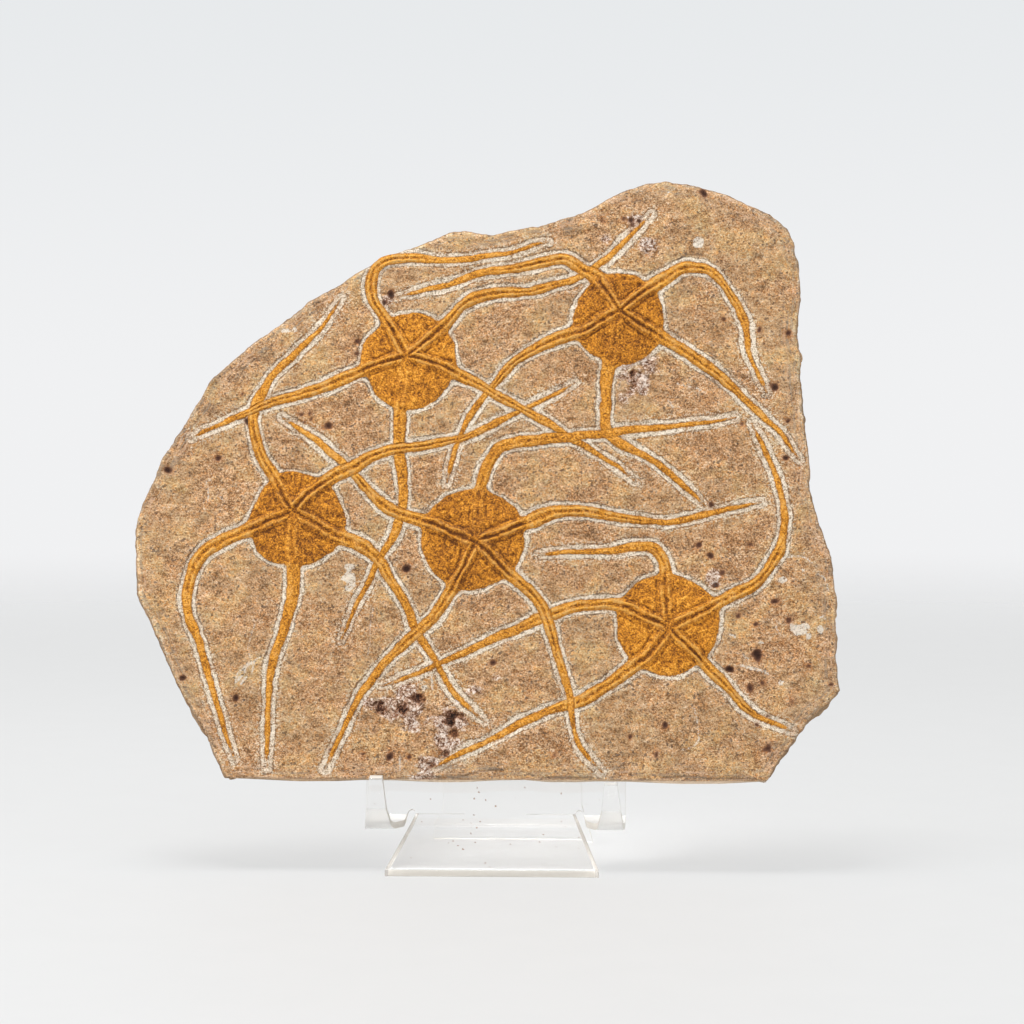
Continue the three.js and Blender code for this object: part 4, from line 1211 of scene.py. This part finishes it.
leg_columns = [*MIDDLE_COLUMNS, *(x for x in HALF_COLUMNS if x < LEG_OFFSET + LEG_HALF + 0.01)]
bent_strip(sheet, leg_columns, leg, leg_across)
bmesh.ops.bisect_plane(
    sheet, geom=sheet.verts[:] + sheet.edges[:] + sheet.faces[:], clear_inner=True,
    plane_co=(0, 0, LEG_CUT), plane_no=(0, 0, 1),
)

# The hooks: forward under the slab, then up as a lip that narrows.
runs, inner, outer = zip(*HOOK_RUNS)
for hand, lip in LIPS.items():
    hook = bent_path(notch, PANEL_HEADING + 180, [
        (HOOK_BEND, -PANEL_HEADING), (HOOK_SEAT,), (HOOK_BEND, LIP_TURN), (lip,),
    ])

    def hook_across(x, station):
        """The hook narrows from both sides along its run."""
        part = (x - HOOK_HALF) / (PANEL_HALF - HOOK_HALF)
        stretch = station[0] / hook[-1][0] * runs[-1]
        sides = [np.interp(stretch, runs, widths) for widths in (inner, outer)]
        return hand * (sides[0] * (1 - part) + sides[1] * part)

    bent_strip(sheet, HOOK_COLUMNS, hook, hook_across)
bmesh.ops.remove_doubles(sheet, verts=sheet.verts, dist=0.01)
bmesh.ops.recalc_face_normals(sheet, faces=sheet.faces)
CLEAR, FROSTED, HAZED, CLEAR_LIP = 0, 2, 4, 6  # each is followed by the finish of its cut edge
for face in sheet.faces:
    x, y, z = face.calc_center_median()
    side = np.interp(z, *zip(*TONGUE_WIDTHS))
    face.material_index = CLEAR
    if abs(x) > HOOK_HALF and y < notch[0] - 0.1 and HOOK_HAZE[0] < z < HOOK_HAZE[1]:
        face.material_index = HAZED
    elif y < notch[0] and z < notch[1] and side * TRIM_START / TONGUE_HALF < abs(x) < side:
        face.material_index = FROSTED
    elif x > HOOK_HALF and y < notch[0]:
        face.material_index = CLEAR_LIP
bmesh.ops.scale(sheet, vec=(0.001, 0.001, 0.001), verts=sheet.verts)
bmesh.ops.translate(sheet, vec=(easel_middle, slab_edge, 0), verts=sheet.verts)
easel_mesh = bpy.data.meshes.new("acrylic_easel_sheet")
sheet.to_mesh(easel_mesh)
sheet.free()
easel_mesh.shade_smooth()

# Clear acrylic with a faint warm-grey tint, and a few specks of rock dust stuck to it.
ACRYLIC_INDEX = 1.49
ACRYLIC_TINT = (0.99, 0.988, 0.984)
ROCK_DUST = (0.34, 0.17, 0.10)
CUT_TINTS = [(0.74, 0.70, 0.64), (0.62, 0.57, 0.50)]
HAZE_TINT = (0.85, 0.84, 0.82)
TRIM_TINT = (0.58, 0.55, 0.51)

acrylic = Finish(bpy.data.materials.new("clear_acrylic"))
place = acrylic.place()
haze = acrylic.grain(place, 6, 3, 0.6)
flecks = acrylic.speckle(place, 0.5).rise(0.9985, 0.9992)
acrylic_finish = acrylic.surface({
    "Base Color": acrylic.blend(flecks, ACRYLIC_TINT, ROCK_DUST),
    "Roughness": haze.rise(0.45, 0.8) * 0.05 + 0.015, "Transmission Weight": 1.0,
    "IOR": ACRYLIC_INDEX,
})
cut_edge = Finish(bpy.data.materials.new("acrylic_cut_edge"))
frost = cut_edge.grain(cut_edge.place(), 1.5, 3, 0.6)
cut_edge_finish = cut_edge.surface({
    "Base Color": cut_edge.blend(frost, *CUT_TINTS),
    "Roughness": frost * 0.3 + 0.25, "Transmission Weight": 0.3, "IOR": ACRYLIC_INDEX,
})
hazed = Finish(bpy.data.materials.new("acrylic_hazed_bend"))
hazed_finish = hazed.surface({
    "Base Color": HAZE_TINT, "Roughness": 0.35, "Transmission Weight": 0.7, "IOR": ACRYLIC_INDEX,
})
trim_edge = Finish(bpy.data.materials.new("acrylic_trimmed_side"))
trim_finish = trim_edge.surface({
    "Base Color": TRIM_TINT, "Roughness": 0.25, "Transmission Weight": 0.5, "IOR": ACRYLIC_INDEX,
})
easel = add_piece(
    "acrylic_easel_sheet", easel_mesh, acrylic_finish, cut_edge_finish, trim_finish, trim_finish,
    hazed_finish, cut_edge_finish, acrylic_finish, hazed_finish,
)
easel.visible_shadow = False  # clear acrylic throws hardly any shadow
wall = easel.modifiers.new("sheet", "SOLIDIFY")
wall.thickness = SHEET / 1000
wall.offset = 0
wall.material_offset_rim = 1
arris = easel.modifiers.new("arris", "BEVEL")
arris.width = ARRIS / 1000
arris.segments = 2
arris.limit_method = "ANGLE"
arris.angle_limit = ARRIS_ANGLE
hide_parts("acrylic_easel")
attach(easel, "root")
